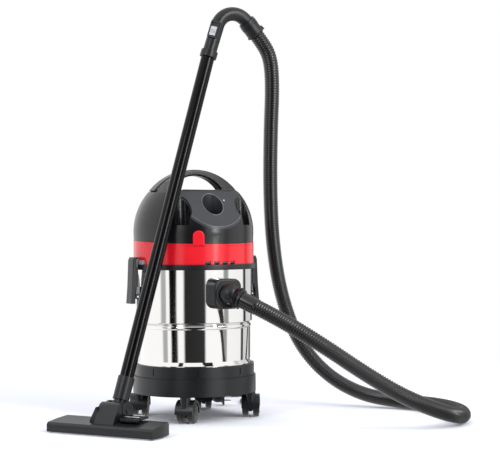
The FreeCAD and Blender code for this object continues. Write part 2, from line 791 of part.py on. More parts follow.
def switch_rocker():
    """Red round-topped rocker."""
    low, high, half = 450.0, 474.0, 14.8
    body = block((-half, -159.8, low), (half, -151.0, high))
    body = body.fuse(Part.makeCylinder(half, 8.8, Vector(0, -159.8, high), Vector(0, 1, 0)))
    body = body.removeSplitter()
    body = body.makeFillet(2.2, [e for e in body.Edges if e.BoundBox.YMax < -159.7])
    pin = Part.makeCylinder(2.0, 2 * half - 6, Vector(-half + 3, -149.5, 468), Vector(1, 0, 0))
    arm = block((-4, -152, 465.5), (4, -149.5, 470.5))
    return turned_about_z(joined([body, arm, pin]), switch_angle())


def switch_case():
    """Switch body behind the rocker, with the sockets for its pin."""
    body = block((-13.5, -149.2, 452), (13.5, -132, 484))
    room = block((-12.5, -152.0, 461), (12.5, -143.5, 475))
    ears = block((-13.5, -150.8, 465), (13.5, -146.0, 471)).cut(block((-6, -153, 460), (6, -147, 480)))
    body = body.cut(room).fuse(ears)
    body = body.cut(Part.makeCylinder(2.0 + running, 40, Vector(-20, -149.5, 468), Vector(1, 0, 0)))
    body = body.cut(block((-6, -153, 462), (6, -144, 474)))
    return turned_about_z(body, switch_angle())


def gland_angle():
    """Where the lead leaves the head, from +X about the drum's axis."""
    return 22.0


def gland_z():
    """Height of the lead's gland."""
    return 425.0


def cord_gland():
    """Tapered strain relief where the lead leaves the band."""
    a = math.radians(gland_angle())
    out = Vector(math.cos(a), math.sin(a), 0)
    root = out * (band_r - 6) + Vector(0, 0, gland_z())
    collar = rod(root, out * (band_r + 4) + Vector(0, 0, gland_z()), 8.7)
    start = out * (band_r + 3) + Vector(0, 0, gland_z())
    away = lead_points()[0].sub(start)
    sleeve = cone_rod(start, start + away * ((away.Length - 1.5) / away.Length), 7.6, 5.0)
    return collar.fuse(sleeve).removeSplitter()


# ---------------------------------------------------------------- mains lead

def lead_points():
    """Route of the lead from the gland down behind the drum to the coil."""
    return [Vector(*p) for p in (
        (181, 73, 416), (197, 80, 403), (206, 84, 366), (208, 85, 290), (207, 84, 200),
        (206, 85, 108), (209, 94, 42), (219, 128, 4), (236, 192, 4), (270, 248, 4), (320, 285, 4),
        (350, 325, 4), (357, 376, 4))]


coil_centre = Vector(301, 380, 0)
coil_mean_r = 45.0
coil_half_width = 2 * lead_d
coil_height = 4 * lead_d + 0.2


def lead_coil():
    """Outer shape of the wound lead, four layers of four turns: a ring with softened edges."""
    body = ring(coil_mean_r + coil_half_width, coil_mean_r - coil_half_width, 0.0, coil_height,
                coil_centre.x, coil_centre.y)
    return body.makeFillet(5.0, body.Edges[:])


def plug_lead_points():
    """Route of the last stretch, from the coil to the plug."""
    return [Vector(*p) for p in (
        (301, 436, 26), (256, 440, 13), (206, 420, 4), (165, 375, 4), (136, 320, 4), (113, 264, 4),
        (107, 222, 10), (129, 191.5, 20.6))]


def power_plug():
    """Two-pin plug lying on its edge: body, flange and pins."""
    face = Vector(173, 168, 20.6)
    out = Vector(0.883, -0.469, 0)
    side = Vector(0.469, 0.883, 0)
    tail = face - out * 50
    body = cone_rod(tail, face - out * 4, 7.0, 15.0)
    flange = rod(face - out * 6, face, 20.0)
    body = body.fuse(flange).removeSplitter()
    pins = []
    for sign in (-1, 1):
        foot = face + side * (sign * 8.0) + Vector(0, 0, sign * 5.0)
        pins.append(rod(foot, foot + out * 19, 2.4))
    return Part.makeCompound([body] + pins)


# ---------------------------------------------------------------- wand and handle

def wand_direction():
    """Unit vector up along the wand."""
    return wand_head.sub(wand_foot).normalize()


def wand_point(height):
    """Point on the wand's axis at a height."""
    along = wand_direction()
    return wand_foot + along * ((height - wand_foot.z) / along.z)


def neck_pivot():
    """Point where the nozzle's neck pivots, on the wand's axis."""
    return wand_point(neck_pivot_z)


def along_neck(distance):
    """Point on the wand's axis, measured up from the neck's pivot."""
    return neck_pivot() + wand_direction() * distance


def wand_tube(start, end):
    """Round tube between two points."""
    along = end.sub(start).normalize()
    return rod(start, end, wand_r).cut(rod(start - along, end + along, wand_r - wand_wall))


def wand_lower():
    """Lower wand tube."""
    return wand_tube(along_neck(52), wand_point(534))


def wand_upper():
    """Upper wand tube, its thinner end pushed into the lower one."""
    tube = wand_tube(wand_point(534.4), wand_head)
    inside = rod(wand_point(500), wand_point(534.6), wand_r - wand_wall - 0.1)
    inside = inside.fuse(rod(wand_point(534.4), wand_point(545), wand_r - wand_wall + 0.1))
    inside = inside.cut(rod(wand_point(498), wand_point(547), wand_r - 2 * wand_wall))
    return joined([tube, inside])


def bend_centre():
    """Centre of the handle's bend, from the wand's line and the bend's radius."""
    along = wand_direction()
    lean = math.atan2(along.x, along.z)
    at = wand_point(bend_centre_z)
    return Vector(at.x + bend_r / math.cos(lean), wand_head.y, bend_centre_z), lean


def handle_path():
    """Straight, bend and straight of the handle's centre line."""
    centre, lean = bend_centre()
    end_angle = math.radians(bend_end_angle)
    start = centre + Vector(-math.cos(lean), 0, math.sin(lean)) * bend_r
    finish = centre + Vector(-math.sin(end_angle), 0, math.cos(end_angle)) * bend_r
    out = Vector(math.cos(end_angle), 0, math.sin(end_angle))
    foot = start - Vector(math.sin(lean), 0, math.cos(lean)) * 86
    top = centre + Vector(0, 0, bend_r)
    return foot, start, top, finish, finish + out * 12, out


def handle_solid(radius):
    """Round bar along the handle's centre line."""
    foot, start, top, finish, tip, out = handle_path()
    edges = [Part.LineSegment(foot, start).toShape(), Part.Arc(start, top, finish).toShape(),
             Part.LineSegment(finish, tip).toShape()]
    section = Part.Wire(Part.makeCircle(radius, foot, start.sub(foot)))
    return Part.Wire(edges).makePipeShell([section], True, False)


def slider_frame():
    """Middle of the air slider's seat and the directions along and out of the handle."""
    foot, start, top, finish, tip, out = handle_path()
    along = start.sub(foot).normalize()
    turn = math.radians(slider_turn)
    outward = Vector(-along.z, 0, along.x) * math.cos(turn) + Vector(0, -1, 0) * math.sin(turn)
    return start - along * 16, along, outward


def boxed(centre, along, outward, length, width, low, high):
    """Box lying on the handle's outer side."""
    across = along.cross(outward)
    corner = centre - along * (length / 2) - across * (width / 2) + outward * low
    base = extruded([corner, corner + along * length, corner + along * length + across * width,
                     corner + across * width], outward * (high - low))
    return base


def wand_handle():
    """Bent handle tube with a raised seat for the air slider."""
    middle, along, outward = slider_frame()
    body = handle_solid(wand_r + 0.5)
    seat = boxed(middle, along, outward, 46, 24, 6, 22)
    seat = seat.makeFillet(3.0, [e for e in seat.Edges if e.Length < 17 and e.Length > 15])
    body = body.fuse(seat)
    body = body.cut(handle_solid(wand_r - 2.5))
    body = body.cut(boxed(middle, along, outward, 36, 17, 18.6, 30))
    body = body.cut(boxed(middle - along * 6, along, outward, 12, 9, 10, 30))
    return body.removeSplitter()


def handle_collar():
    """Collar on the wand's top joint."""
    foot, start, top, finish, tip, out = handle_path()
    along = start.sub(foot).normalize()
    collar = rod(foot - along * 2, foot + along * 16, wand_r + 4.5)
    return collar.cut(rod(foot - along * 4, foot + along * 20, wand_r + 1.2))


def air_slider():
    """Thumb slider that lets air in at the handle."""
    middle, along, outward = slider_frame()
    plate = boxed(middle - along * 5, along, outward, 24, 16.4, 18.8, 21.4)
    ribs = [boxed(middle + along * (-9 + 4 * step), along, outward, 1.6, 12, 21.2, 23.2) for step in range(3)]
    return joined([plate] + ribs)


def hose_cuff():
    """Wide cuff that joins the hose to the handle."""
    foot, start, top, finish, tip, out = handle_path()
    body = rod(finish + out * 0.3, finish + out * cuff_length, cuff_r)
    body = body.cut(handle_solid(wand_r + 0.6))
    body = body.cut(rod(finish - out * 10, finish + out * (cuff_length + 4), wand_r - 1.0))
    flange = rod(finish + out * (cuff_length - 3), finish + out * cuff_length, cuff_r + 2.5)
    mouth = rod(finish + out * (cuff_length - 14), finish + out * (cuff_length + 1), hose_d / 2 + running)
    return body.fuse(flange).cut(mouth).removeSplitter()


def hose_end():
    """Where the hose enters the cuff, and its direction there."""
    foot, start, top, finish, tip, out = handle_path()
    return finish + out * (cuff_length - 14), out


def hose_points():
    """Route of the hose from the elbow, round a loop on the floor, up to the handle's cuff."""
    turn = Vector(elbow_turn_direction).normalize()
    end, out = hose_end()
    first = elbow_centre() + turn * 28
    middle = [Vector(*p) for p in (
        (160, -388, 207), (238, -452, 140), (322, -506, 80), (424, -532, 38),
        (518, -482, 20), (576, -377, 20), (590, -258, 20), (552, -147, 20), (478, -57, 34),
        (402, 12, 92), (340, 52, 185), (298, 66, 310), (268, 56, 450), (246, 28, 600),
        (228, -10, 750), (214, -48, 880), (196, -68, 950))]
    return [first, first + turn * 100] + middle + [end + out * 34, end]


def suction_hose():
    """Outer shape of the ribbed hose."""
    return bent_tube(hose_points(), hose_d / 2)


# ---------------------------------------------------------------- floor nozzle

def nozzle_place(shape):
    """Nozzle shape made in its own frame (X along its length, Y to the rear), moved to the wand's foot."""
    shape = shape.copy()
    shape.translate(Vector(0, -neck_pivot_y, 0))
    shape.rotate(Vector(0, 0, 0), Vector(0, 0, 1), nozzle_yaw)
    pivot = neck_pivot()
    shape.translate(Vector(pivot.x, pivot.y, 0))
    return shape


def neck_barrel(radius, half):
    """Bar along the nozzle's length through the neck's pivot."""
    return Part.makeCylinder(radius, 2 * half, Vector(-half, neck_pivot_y, neck_pivot_z), Vector(1, 0, 0))


def nozzle_section(inset):
    """Side outline of the nozzle's shell."""
    low = 2.8 if inset == 0 else -5
    return [(inset, low), (inset, nozzle_front_height - 5 - inset * 0.5), (5 + inset * 0.6, nozzle_front_height - inset),
            (nozzle_depth - 9 - inset * 0.6, nozzle_rear_height - inset),
            (nozzle_depth - inset, nozzle_rear_height - 6 - inset * 0.5), (nozzle_depth - inset, low)]


def nozzle_prism(inset, half):
    """Long prism of the nozzle's side outline."""
    points = [Vector(-half, y, z) for y, z in nozzle_section(inset)]
    return extruded(points, Vector(2 * half, 0, 0))


def nozzle_body():
    """Shell of the floor nozzle with the hump and cheeks that hold the neck."""
    half = nozzle_length / 2
    body = nozzle_prism(0, half)
    for side in (-1, 1):
        slant = extruded([Vector(side * (half + 1), 40, 60), Vector(side * (half - 8), nozzle_depth + 1, 60),
                          Vector(side * (half + 1), nozzle_depth + 1, 60)], Vector(0, 0, -80))
        body = body.cut(slant)
    hump_outline = [Vector(-28, 14, 20), Vector(-28, 22, 30), Vector(-28, 44, 70), Vector(-28, 52, 75),
                    Vector(-28, 61, 76), Vector(-28, 66, 70), Vector(-28, 66, 20)]
    hump = extruded(hump_outline, Vector(56, 0, 0))
    hump = hump.fuse(Part.makeCylinder(22, 58, Vector(-29, neck_pivot_y, neck_pivot_z), Vector(1, 0, 0)))
    hump = hump.fuse(block((-29, 60, 24), (29, neck_pivot_y + 15, neck_pivot_z)))
    hump = hump.fuse(block((-29, 60, 40), (29, neck_pivot_y, neck_pivot_z + 19)))
    shoulder = extruded([Vector(-28, 34, 24), Vector(-50, 34, 24), Vector(-50, 34, 31), Vector(-32, 34, 64),
                         Vector(-28, 34, 66)], Vector(0, 44, 0))
    hump = hump.fuse(shoulder)
    body = body.fuse(hump)
    body = body.cut(nozzle_prism(nozzle_wall, half - nozzle_wall - 6))
    slot_half = neck_barrel_width / 2 + 1.6
    body = body.cut(block((-slot_half, neck_pivot_y - neck_barrel_r - 1.5, 30), (slot_half, 140, 120)))
    body = body.cut(block((-17, 41, 10), (17, neck_pivot_y - 10, 54)))
    body = body.cut(neck_barrel(4.0, 60))
    for side in (-1, 1):
        bore = Part.makeCylinder(2.0 + running, 8, Vector(side * (half - 34) - 4, 70, roller_r), Vector(1, 0, 0))
        lug = block((side * (half - 34) - 3, 62, 2.8), (side * (half - 34) + 3, 78, 32)).cut(bore)
        body = body.fuse(lug.common(nozzle_prism(0, half)))
    body = body.cut(block((34, 34, 27), (90, 78, 60)))
    for x in (29.5, 88.5):
        body = body.fuse(block((x, 57, 28), (x + 6, 67, 36.5)))
    body = body.cut(Part.makeCylinder(3.0 + running, 70, Vector(27, 62, 32), Vector(1, 0, 0)))
    return body.removeSplitter()


def nozzle_sole():
    """Sole plate with the suction slot, on two skids."""
    half = nozzle_length / 2 - 9
    plate = block((-half, 4, 1.2), (half, 80, 2.7))
    plate = plate.cut(block((-half + 14, 24, 0), (half - 14, 44, 5)))
    for side in (-1, 1):
        plate = plate.cut(block((side * (nozzle_length / 2 - 34) - 9, 58, 0), (side * (nozzle_length / 2 - 34) + 9, 82, 5)))
        plate = plate.fuse(block((side * (half - 20) - 14, 6, 0.0), (side * (half - 20) + 14, 18, 1.4)))
    for y in (16, 50):
        plate = plate.cut(block((-half + 12, y - 3.6, 0), (half - 12, y + 3.6, 5)))
    return plate.removeSplitter()


def nozzle_brush():
    """Two bristle strips on one carrier."""
    half = nozzle_length / 2 - 24
    strips = [block((-half, y - 3.0, 3.0), (half, y + 3.0, 10.5)) for y in (16, 50)]
    bars = [block((x - 4, 13, 10), (x + 4, 53, 13)) for x in (-90, 0, 90)]
    return joined(strips + bars)


def nozzle_rollers():
    """Two small rollers on their stub axles."""
    rollers = []
    for side in (-1, 1):
        x = side * (nozzle_length / 2 - 34)
        axle = Part.makeCylinder(2.0, 13, Vector(x - 6.5, 70, roller_r), Vector(1, 0, 0))
        inner = Part.makeCylinder(roller_r, 3, Vector(x + 3.3, 70, roller_r), Vector(1, 0, 0))
        outer = Part.makeCylinder(roller_r, 3, Vector(x - 6.3, 70, roller_r), Vector(1, 0, 0))
        rollers.append(joined([axle, inner, outer]))
    return Part.makeCompound(rollers)


def nozzle_pedal():
    """Foot pedal with two grip strips."""
    plate = block((36, 36, 37.5), (88, 86, 43))
    plate = plate.makeFillet(2.5, [e for e in plate.Edges if upright(e)])
    web = block((57, 58, 29), (67, 66, 38))
    strips = [block((40, y - 4, 42.8), (84, y + 4, 44.6)) for y in (52, 72)]
    pivot = Part.makeCylinder(3.0, 64, Vector(30, 62, 32), Vector(1, 0, 0))
    pedal = joined([plate, web, pivot] + strips)
    pedal.rotate(Vector(62, 62, 32), Vector(1, 0, 0), 4)
    return pedal


def neck_pin():
    """Pin through the cheeks and the neck's barrel."""
    return neck_barrel(3.95, 28)


def neck_elbow():
    """Barrel on the pin, and the tube that turns in the wand's socket."""
    barrel = nozzle_place(neck_barrel(neck_barrel_r, neck_barrel_width / 2))
    tube = rod(along_neck(0), along_neck(46), neck_bore_r - running)
    shoulder = rod(along_neck(10), along_neck(20), 19.0)
    body = joined([barrel, tube, shoulder])
    body = body.cut(rod(along_neck(0), along_neck(60), 12.5))
    return body.cut(nozzle_place(neck_barrel(3.95 + running, 60)))


def neck_socket():
    """Sleeve on the wand's foot, with a stop ring inside."""
    body = rod(along_neck(23.5), along_neck(82), 20.5)
    body = body.cut(rod(along_neck(18), along_neck(50), neck_bore_r))
    body = body.cut(rod(along_neck(50), along_neck(90), wand_r + 0.1))
    return body


# ---------------------------------------------------------------- everything

def main():
    """Build and write every node."""
    os.makedirs("parts", exist_ok=True)
    save("drum_shell", drum_shell())
    save("drum_rim", drum_rim())
    save("drum_base", drum_base())
    save("caster_stems", caster_stems())
    for name, x, y, heading in caster_spots():
        save("caster_fork_" + name, placed_caster(caster_fork(), x, y, heading))
        save("caster_wheels_" + name, placed_caster(caster_wheels(), x, y, heading))
    save("inlet_housing", inlet_housing())
    save("inlet_sleeve", inlet_sleeve())
    save("inlet_deflector", inlet_deflector())
    save("hose_elbow", hose_elbow())
    brackets = [latch_place(latch_bracket(), side) for side in ("left", "right")]
    save("latch_brackets", Part.makeCompound(brackets))
    save("latch_fasteners", latch_fasteners())
    for side in ("left", "right"):
        save("latch_hook_" + side, latch_place(latch_hook(), side))
        save("latch_lever_" + side, latch_place(latch_lever(), side))
    save("latch_catches", latch_catches())
    save("head_band", head_band())
    save("head_dome", head_dome())
    save("front_panel", front_panel())
    save("carry_handle", carry_handle())
    save("motor_plate", motor_plate())
    save("head_gasket", head_gasket())
    save("head_screws", head_screws())
    save("motor_can", motor_can())
    save("motor_bearings", motor_bearings())
    save("motor_rotor", motor_rotor())
    save("suction_fan", suction_fan())
    save("exhaust_foam", exhaust_foam())
    save("float_cage", float_cage())
    save("valve_float", valve_float())
    save("filter_sleeve", filter_sleeve())
    save("switch_rocker", switch_rocker())
    save("switch_case", switch_case())
    save("cord_gland", cord_gland())
    save("power_lead", bent_tube(lead_points(), lead_d / 2))
    save("lead_coil", lead_coil())
    save("plug_lead", bent_tube(plug_lead_points(), lead_d / 2))
    save("power_plug", power_plug())
    save("wand_lower", wand_lower())
    save("wand_upper", wand_upper())
    save("wand_handle", wand_handle())
    save("handle_collar", handle_collar())
    save("air_slider", air_slider())
    save("hose_cuff", hose_cuff())
    save("suction_hose", suction_hose())
    save("neck_socket", neck_socket())
    save("neck_elbow", neck_elbow())
    save("neck_pin", nozzle_place(neck_pin()))
    save("nozzle_body", nozzle_place(nozzle_body()))
    save("nozzle_sole", nozzle_place(nozzle_sole()))
    save("nozzle_brush", nozzle_place(nozzle_brush()))
    save("nozzle_rollers", nozzle_place(nozzle_rollers()))
    save("nozzle_pedal", nozzle_place(nozzle_pedal()))


main()
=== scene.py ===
# Wet and dry shop vacuum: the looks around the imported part.  Metres, +Z up, the front faces -Y.
import math

import bpy
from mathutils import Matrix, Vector


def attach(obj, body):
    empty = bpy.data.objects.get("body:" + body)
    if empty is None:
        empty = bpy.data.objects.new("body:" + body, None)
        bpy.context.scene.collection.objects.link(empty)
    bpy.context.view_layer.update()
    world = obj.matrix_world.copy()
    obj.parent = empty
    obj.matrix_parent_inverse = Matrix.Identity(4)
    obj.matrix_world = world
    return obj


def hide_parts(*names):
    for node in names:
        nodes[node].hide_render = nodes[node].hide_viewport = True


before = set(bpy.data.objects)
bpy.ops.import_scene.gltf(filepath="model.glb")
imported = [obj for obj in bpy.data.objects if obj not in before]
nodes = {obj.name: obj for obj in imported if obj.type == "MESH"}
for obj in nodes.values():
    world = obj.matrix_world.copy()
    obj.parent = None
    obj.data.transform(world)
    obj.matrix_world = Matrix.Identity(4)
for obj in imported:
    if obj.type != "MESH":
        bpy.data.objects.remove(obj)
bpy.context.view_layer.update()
scene = bpy.context.scene
mm = 0.001

# ---------------------------------------------------------------- camera

camera_data = bpy.data.cameras.new("camera")
camera_data.sensor_width = 36.0
camera_data.lens = 100.8
camera_data.shift_y = 0.010
camera_data.clip_end = 30.0
camera = bpy.data.objects.new("camera", camera_data)
scene.collection.objects.link(camera)
camera.location = (-1.597, -3.320, 0.489)
camera.rotation_euler = (math.radians(90), math.radians(0.4), math.radians(-28.0))
scene.camera = camera


# ---------------------------------------------------------------- hand tools

def deselect():
    """Leaves edit mode and lets go of everything."""
    if bpy.context.object and bpy.context.object.mode != "OBJECT":
        bpy.ops.object.mode_set(mode="OBJECT")
    bpy.ops.object.select_all(action="DESELECT")


def take(piece):
    """Makes one object the only one selected, and active."""
    deselect()
    piece.select_set(True)
    bpy.context.view_layer.objects.active = piece


def settle(piece, name):
    """Names a finished piece and puts its place into its mesh."""
    take(piece)
    bpy.ops.object.transform_apply(location=True, rotation=True, scale=True)
    piece.name = name
    piece.data.name = name
    return piece


def apply_modifiers(piece):
    """Applies every modifier of a piece in order."""
    take(piece)
    for modifier in list(piece.modifiers):
        bpy.ops.object.modifier_apply(modifier=modifier.name)


def turned(name, outline, steps=96):
    """Spins (radius, height) points round Z, in millimetres, into a smooth wall or ring."""
    deselect()
    bpy.ops.mesh.primitive_plane_add(size=2 * mm, location=(0, 0, 0))
    piece = bpy.context.object
    bpy.ops.object.mode_set(mode="EDIT")
    bpy.ops.mesh.merge(type="CENTER")
    bpy.ops.transform.translate(value=(outline[0][0] * mm, 0, outline[0][1] * mm))
    for before, after in zip(outline, outline[1:]):
        step = ((after[0] - before[0]) * mm, 0, (after[1] - before[1]) * mm)
        bpy.ops.mesh.extrude_region_move(TRANSFORM_OT_translate={"value": step})
    bpy.ops.mesh.select_all(action="SELECT")
    bpy.ops.mesh.spin(steps=steps, angle=math.tau, center=(0, 0, 0), axis=(0, 0, 1))
    bpy.ops.mesh.select_all(action="SELECT")
    bpy.ops.mesh.remove_doubles(threshold=0.00001)
    bpy.ops.mesh.normals_make_consistent(inside=False)
    bpy.ops.object.mode_set(mode="OBJECT")
    bpy.ops.object.shade_smooth_by_angle(angle=math.radians(35))
    piece.name = name
    return piece


def along(piece, axis, place):
    """Turns a piece made along Z to lie along an axis, and moves it to its place in millimetres."""
    turn = Vector((0, 0, 1)).rotation_difference(Vector(axis))
    piece.rotation_mode = "QUATERNION"
    piece.rotation_quaternion = turn
    piece.location = Vector(place) * mm
    return piece


# ---------------------------------------------------------------- cords, first

def route(name, points, resolution):
    """Smooth NURBS spline whose control points are the route's own points, in metres."""
    data = bpy.data.curves.new(name, "CURVE")
    data.dimensions = "3D"
    data.resolution_u = resolution
    spline = data.splines.new("NURBS")
    spline.points.add(len(points) - 1)
    for point, place in zip(spline.points, points):
        point.co = (*place, 1.0)
    spline.order_u = 3
    spline.use_endpoint_u = True
    line = bpy.data.objects.new(name, data)
    scene.collection.objects.link(line)
    return line


def points_on(line):
    """Points along a route's own smooth spline, in order."""
    bpy.context.view_layer.update()
    drawn = bpy.data.meshes.new_from_object(line)
    places = [vertex.co.copy() for vertex in drawn.vertices]
    bpy.data.meshes.remove(drawn)
    return places


def run_length(places):
    """Length along a list of points."""
    return sum((b - a).length for a, b in zip(places, places[1:]))


hose_points = [
    (0.0167, -0.2279, 0.3177), (0.0765, -0.2971, 0.2772),
    (0.160, -0.388, 0.207), (0.238, -0.452, 0.140), (0.322, -0.506, 0.080), (0.424, -0.532, 0.038),
    (0.518, -0.482, 0.020), (0.576, -0.377, 0.020), (0.590, -0.258, 0.020), (0.552, -0.147, 0.020),
    (0.478, -0.057, 0.034), (0.402, 0.012, 0.092), (0.340, 0.052, 0.185), (0.298, 0.066, 0.310),
    (0.268, 0.056, 0.450), (0.246, 0.028, 0.600), (0.228, -0.010, 0.750), (0.214, -0.048, 0.880),
    (0.196, -0.068, 0.950), (0.1638, -0.075, 0.9889), (0.1410, -0.075, 1.0142)]
rib_pitch = 0.0068


def bent_along(piece, line):
    """Bends a straight piece that runs along +X onto a route."""
    bend = piece.modifiers.new("bend", "CURVE")
    bend.object = line
    bend.deform_axis = "POS_X"


def lofted_rings(name, rings, sides):
    """Open tube along +X from (x, radius) rings in metres."""
    deselect()
    first_x, first_r = rings[0]
    bpy.ops.mesh.primitive_circle_add(vertices=sides, radius=first_r, location=(first_x, 0, 0),
                                      rotation=(0, math.radians(90), 0))
    piece = bpy.context.object
    bpy.ops.object.transform_apply(location=True, rotation=True, scale=True)
    piece.name = name
    bpy.ops.object.mode_set(mode="EDIT")
    bpy.ops.mesh.select_all(action="SELECT")
    for (x0, r0), (x1, r1) in zip(rings, rings[1:]):
        bpy.ops.mesh.extrude_region_move(TRANSFORM_OT_translate={"value": (x1 - x0, 0, 0)})
        factor = r1 / r0
        bpy.ops.transform.resize(value=(1, factor, factor), center_override=(x1, 0, 0))
    bpy.ops.mesh.select_all(action="SELECT")
    bpy.ops.mesh.normals_make_consistent(inside=False)
    bpy.ops.object.mode_set(mode="OBJECT")
    return piece


hose_line = route("hose_line", hose_points, 24)
hose_path = points_on(hose_line)
hose_length = run_length(hose_path)
rib_count = round(hose_length / rib_pitch)
pitch = hose_length / rib_count
rib = [(0, 0.0179), (0.14 * pitch, 0.0180), (0.30 * pitch, 0.0197), (0.46 * pitch, 0.0200),
       (0.62 * pitch, 0.0199), (0.84 * pitch, 0.0181), (pitch, 0.0179)]
hose = lofted_rings("hose", rib, 26)
ribs = hose.modifiers.new("ribs", "ARRAY")
ribs.count = rib_count
ribs.use_relative_offset = False
ribs.use_constant_offset = True
ribs.constant_offset_displace = (pitch, 0, 0)
ribs.use_merge_vertices = True
ribs.merge_threshold = 0.00005
bent_along(hose, hose_line)
apply_modifiers(hose)
bpy.ops.object.shade_smooth()
settle(hose, "ribbed_hose")

sleeve = lofted_rings("sleeve", [(0.004, 0.0190), (0.005, 0.0207), (0.042, 0.0207), (0.047, 0.0204),
                                 (0.050, 0.0199), (0.051, 0.0180)], 40)
bent_along(sleeve, hose_line)
apply_modifiers(sleeve)
bpy.ops.object.shade_smooth_by_angle(angle=math.radians(35))
settle(sleeve, "hose_sleeve")
deselect()
bpy.data.objects.remove(hose_line)
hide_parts("suction_hose")
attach(hose, "root")
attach(sleeve, "root")

# mains lead: down from the head, wound in four layers of turns, and away to the plug
lead_d = 0.0075
lead_down = [
    (0.181, 0.073, 0.416), (0.197, 0.080, 0.403), (0.206, 0.084, 0.366), (0.208, 0.085, 0.290),
    (0.207, 0.084, 0.200), (0.206, 0.085, 0.108), (0.209, 0.094, 0.042), (0.219, 0.128, 0.004),
    (0.236, 0.192, 0.004), (0.270, 0.248, 0.004), (0.320, 0.285, 0.004), (0.350, 0.325, 0.004)]
lead_away = [
    (0.301, 0.436, 0.026), (0.256, 0.440, 0.013), (0.206, 0.420, 0.004), (0.165, 0.375, 0.004),
    (0.136, 0.320, 0.004), (0.113, 0.264, 0.004), (0.107, 0.222, 0.010), (0.129, 0.1915, 0.0206)]
coil_centre = (0.301, 0.380)
turns_in_layer = 4
points_in_turn = 12
innermost = 0.03375            # radius of the inside turn's centre line
whole_turns = 15
extra_points = 3               # the last quarter turn
start_angle = -0.07
lead_height = 0.004
pull_in = 0.966                # a smooth turn runs this share of its control points' radius


def coil_points():
    """Control points of the wound turns, layer on layer, alternately inwards and outwards."""
    places = []
    for step in range(whole_turns * points_in_turn + extra_points):
        turn, within = divmod(step, points_in_turn)
        layer, row = divmod(turn, turns_in_layer)
        moved = row + max(0.0, (within - 9) / 3)        # the last quarter of a turn crosses to the next
        rise = max(0.0, moved - (turns_in_layer - 1))
        across = min(moved, turns_in_layer - 1)
        if layer % 2 == 0:
            across = turns_in_layer - 1 - across
        radius = (innermost + across * lead_d) / pull_in
        angle = math.tau * (step / points_in_turn) + start_angle
        places.append((coil_centre[0] + radius * math.cos(angle), coil_centre[1] + radius * math.sin(angle),
                       lead_height + (layer + rise) * lead_d))
    return places


lead_line = route("mains_lead", lead_down + coil_points() + lead_away, 4)
lead_path = points_on(lead_line)
lead_line.data.bevel_depth = lead_d / 2
lead_line.data.bevel_resolution = 4
lead_line.data.use_fill_caps = True
take(lead_line)
bpy.ops.object.convert(target="MESH")
lead = settle(bpy.context.object, "mains_lead")
bpy.ops.object.shade_smooth()
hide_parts("power_lead", "lead_coil", "plug_lead")
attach(lead, "root")

# the plug: ribbed strain relief, waisted grip, round flange, two round pins
plug_face = Vector((173, 168, 20.6))
plug_out = Vector((0.883, -0.469, 0)).normalized()
plug_side = Vector((0.469, 0.883, 0)).normalized()
relief = []
for rib_step in range(6):
    low = 1.2 + rib_step * 2.6
    swell = 5.2 + 0.32 * rib_step
    relief += [(swell - 0.9, low), (swell, low + 0.5), (swell, low + 1.5), (swell - 0.9, low + 2.0)]
plug_body = turned("plug_grip", [(0.02, 0.4), (3.9, 0.2)] + relief + [
    (7.4, 18.0), (9.4, 20.0), (11.0, 23.5), (12.2, 28.0), (12.4, 33.0), (12.0, 38.0), (12.4, 41.0),
    (14.6, 43.4), (18.6, 44.4), (19.7, 45.0), (20.0, 45.8), (20.0, 48.6), (19.6, 49.6), (18.8, 50.0),
    (17.6, 50.0), (17.2, 49.6), (0.02, 49.6)], 64)
plug_length = 50
settle(along(plug_body, plug_out, plug_face - plug_out * plug_length), "plug_body")
plug_pins = []
for pin, sign in enumerate((-1, 1)):
    foot = plug_face + plug_side * (8.0 * sign) + Vector((0, 0, 5.0 * sign))
    prong = turned("pin", [(0.02, -1.0), (2.4, -1.0), (2.4, 17.4), (2.2, 18.3), (1.6, 18.9), (0.02, 19.0)],
                   32)
    plug_pins.append(settle(along(prong, plug_out, foot), "plug_prong_%d" % (pin + 1)))
    collar = turned("foot", [(0.02, -0.6), (3.3, -0.6), (3.3, 0.1), (3.0, 0.5), (2.42, 0.5)], 32)
    plug_pins.append(settle(along(collar, plug_out, foot), "plug_foot_%d" % (pin + 1)))
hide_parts("power_plug")
for piece in [plug_body] + plug_pins:
    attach(piece, "root")

# ---------------------------------------------------------------- floor and light

deselect()
bpy.ops.mesh.primitive_circle_add(vertices=96, radius=1.7, fill_type="NGON", location=(0, 0, 0))
floor = bpy.context.object
floor.name = "floor"
floor.visible_glossy = False


def linear(code):
    """Linear colour from an sRGB hex value."""
    parts = [int(code[i:i + 2], 16) / 255 for i in (0, 2, 4)]
    return tuple(p / 12.92 if p <= 0.04045 else ((p + 0.055) / 1.055) ** 2.4 for p in parts) + (1.0,)


def add(tree, kind, sockets=None, **settings):
    """Adds a node; a socket given another node's output is linked, anything else is set."""
    made = tree.nodes.new(kind)
    for name, value in settings.items():
        setattr(made, name, value)
    for name, value in (sockets or {}).items():
        if isinstance(value, bpy.types.NodeSocket):
            tree.links.new(value, made.inputs[name])
        else:
            made.inputs[name].default_value = value
    return made


def stops(ramp, entries):
    """Sets a colour ramp's stops from (place, grey or colour) entries."""
    elements = ramp.color_ramp.elements
    while len(elements) > 1:
        elements.remove(elements[-1])
    for index, (place, colour) in enumerate(entries):
        element = elements[0] if index == 0 else elements.new(place)
        element.position = place
        element.color = colour if isinstance(colour, tuple) else (colour, colour, colour, 1.0)


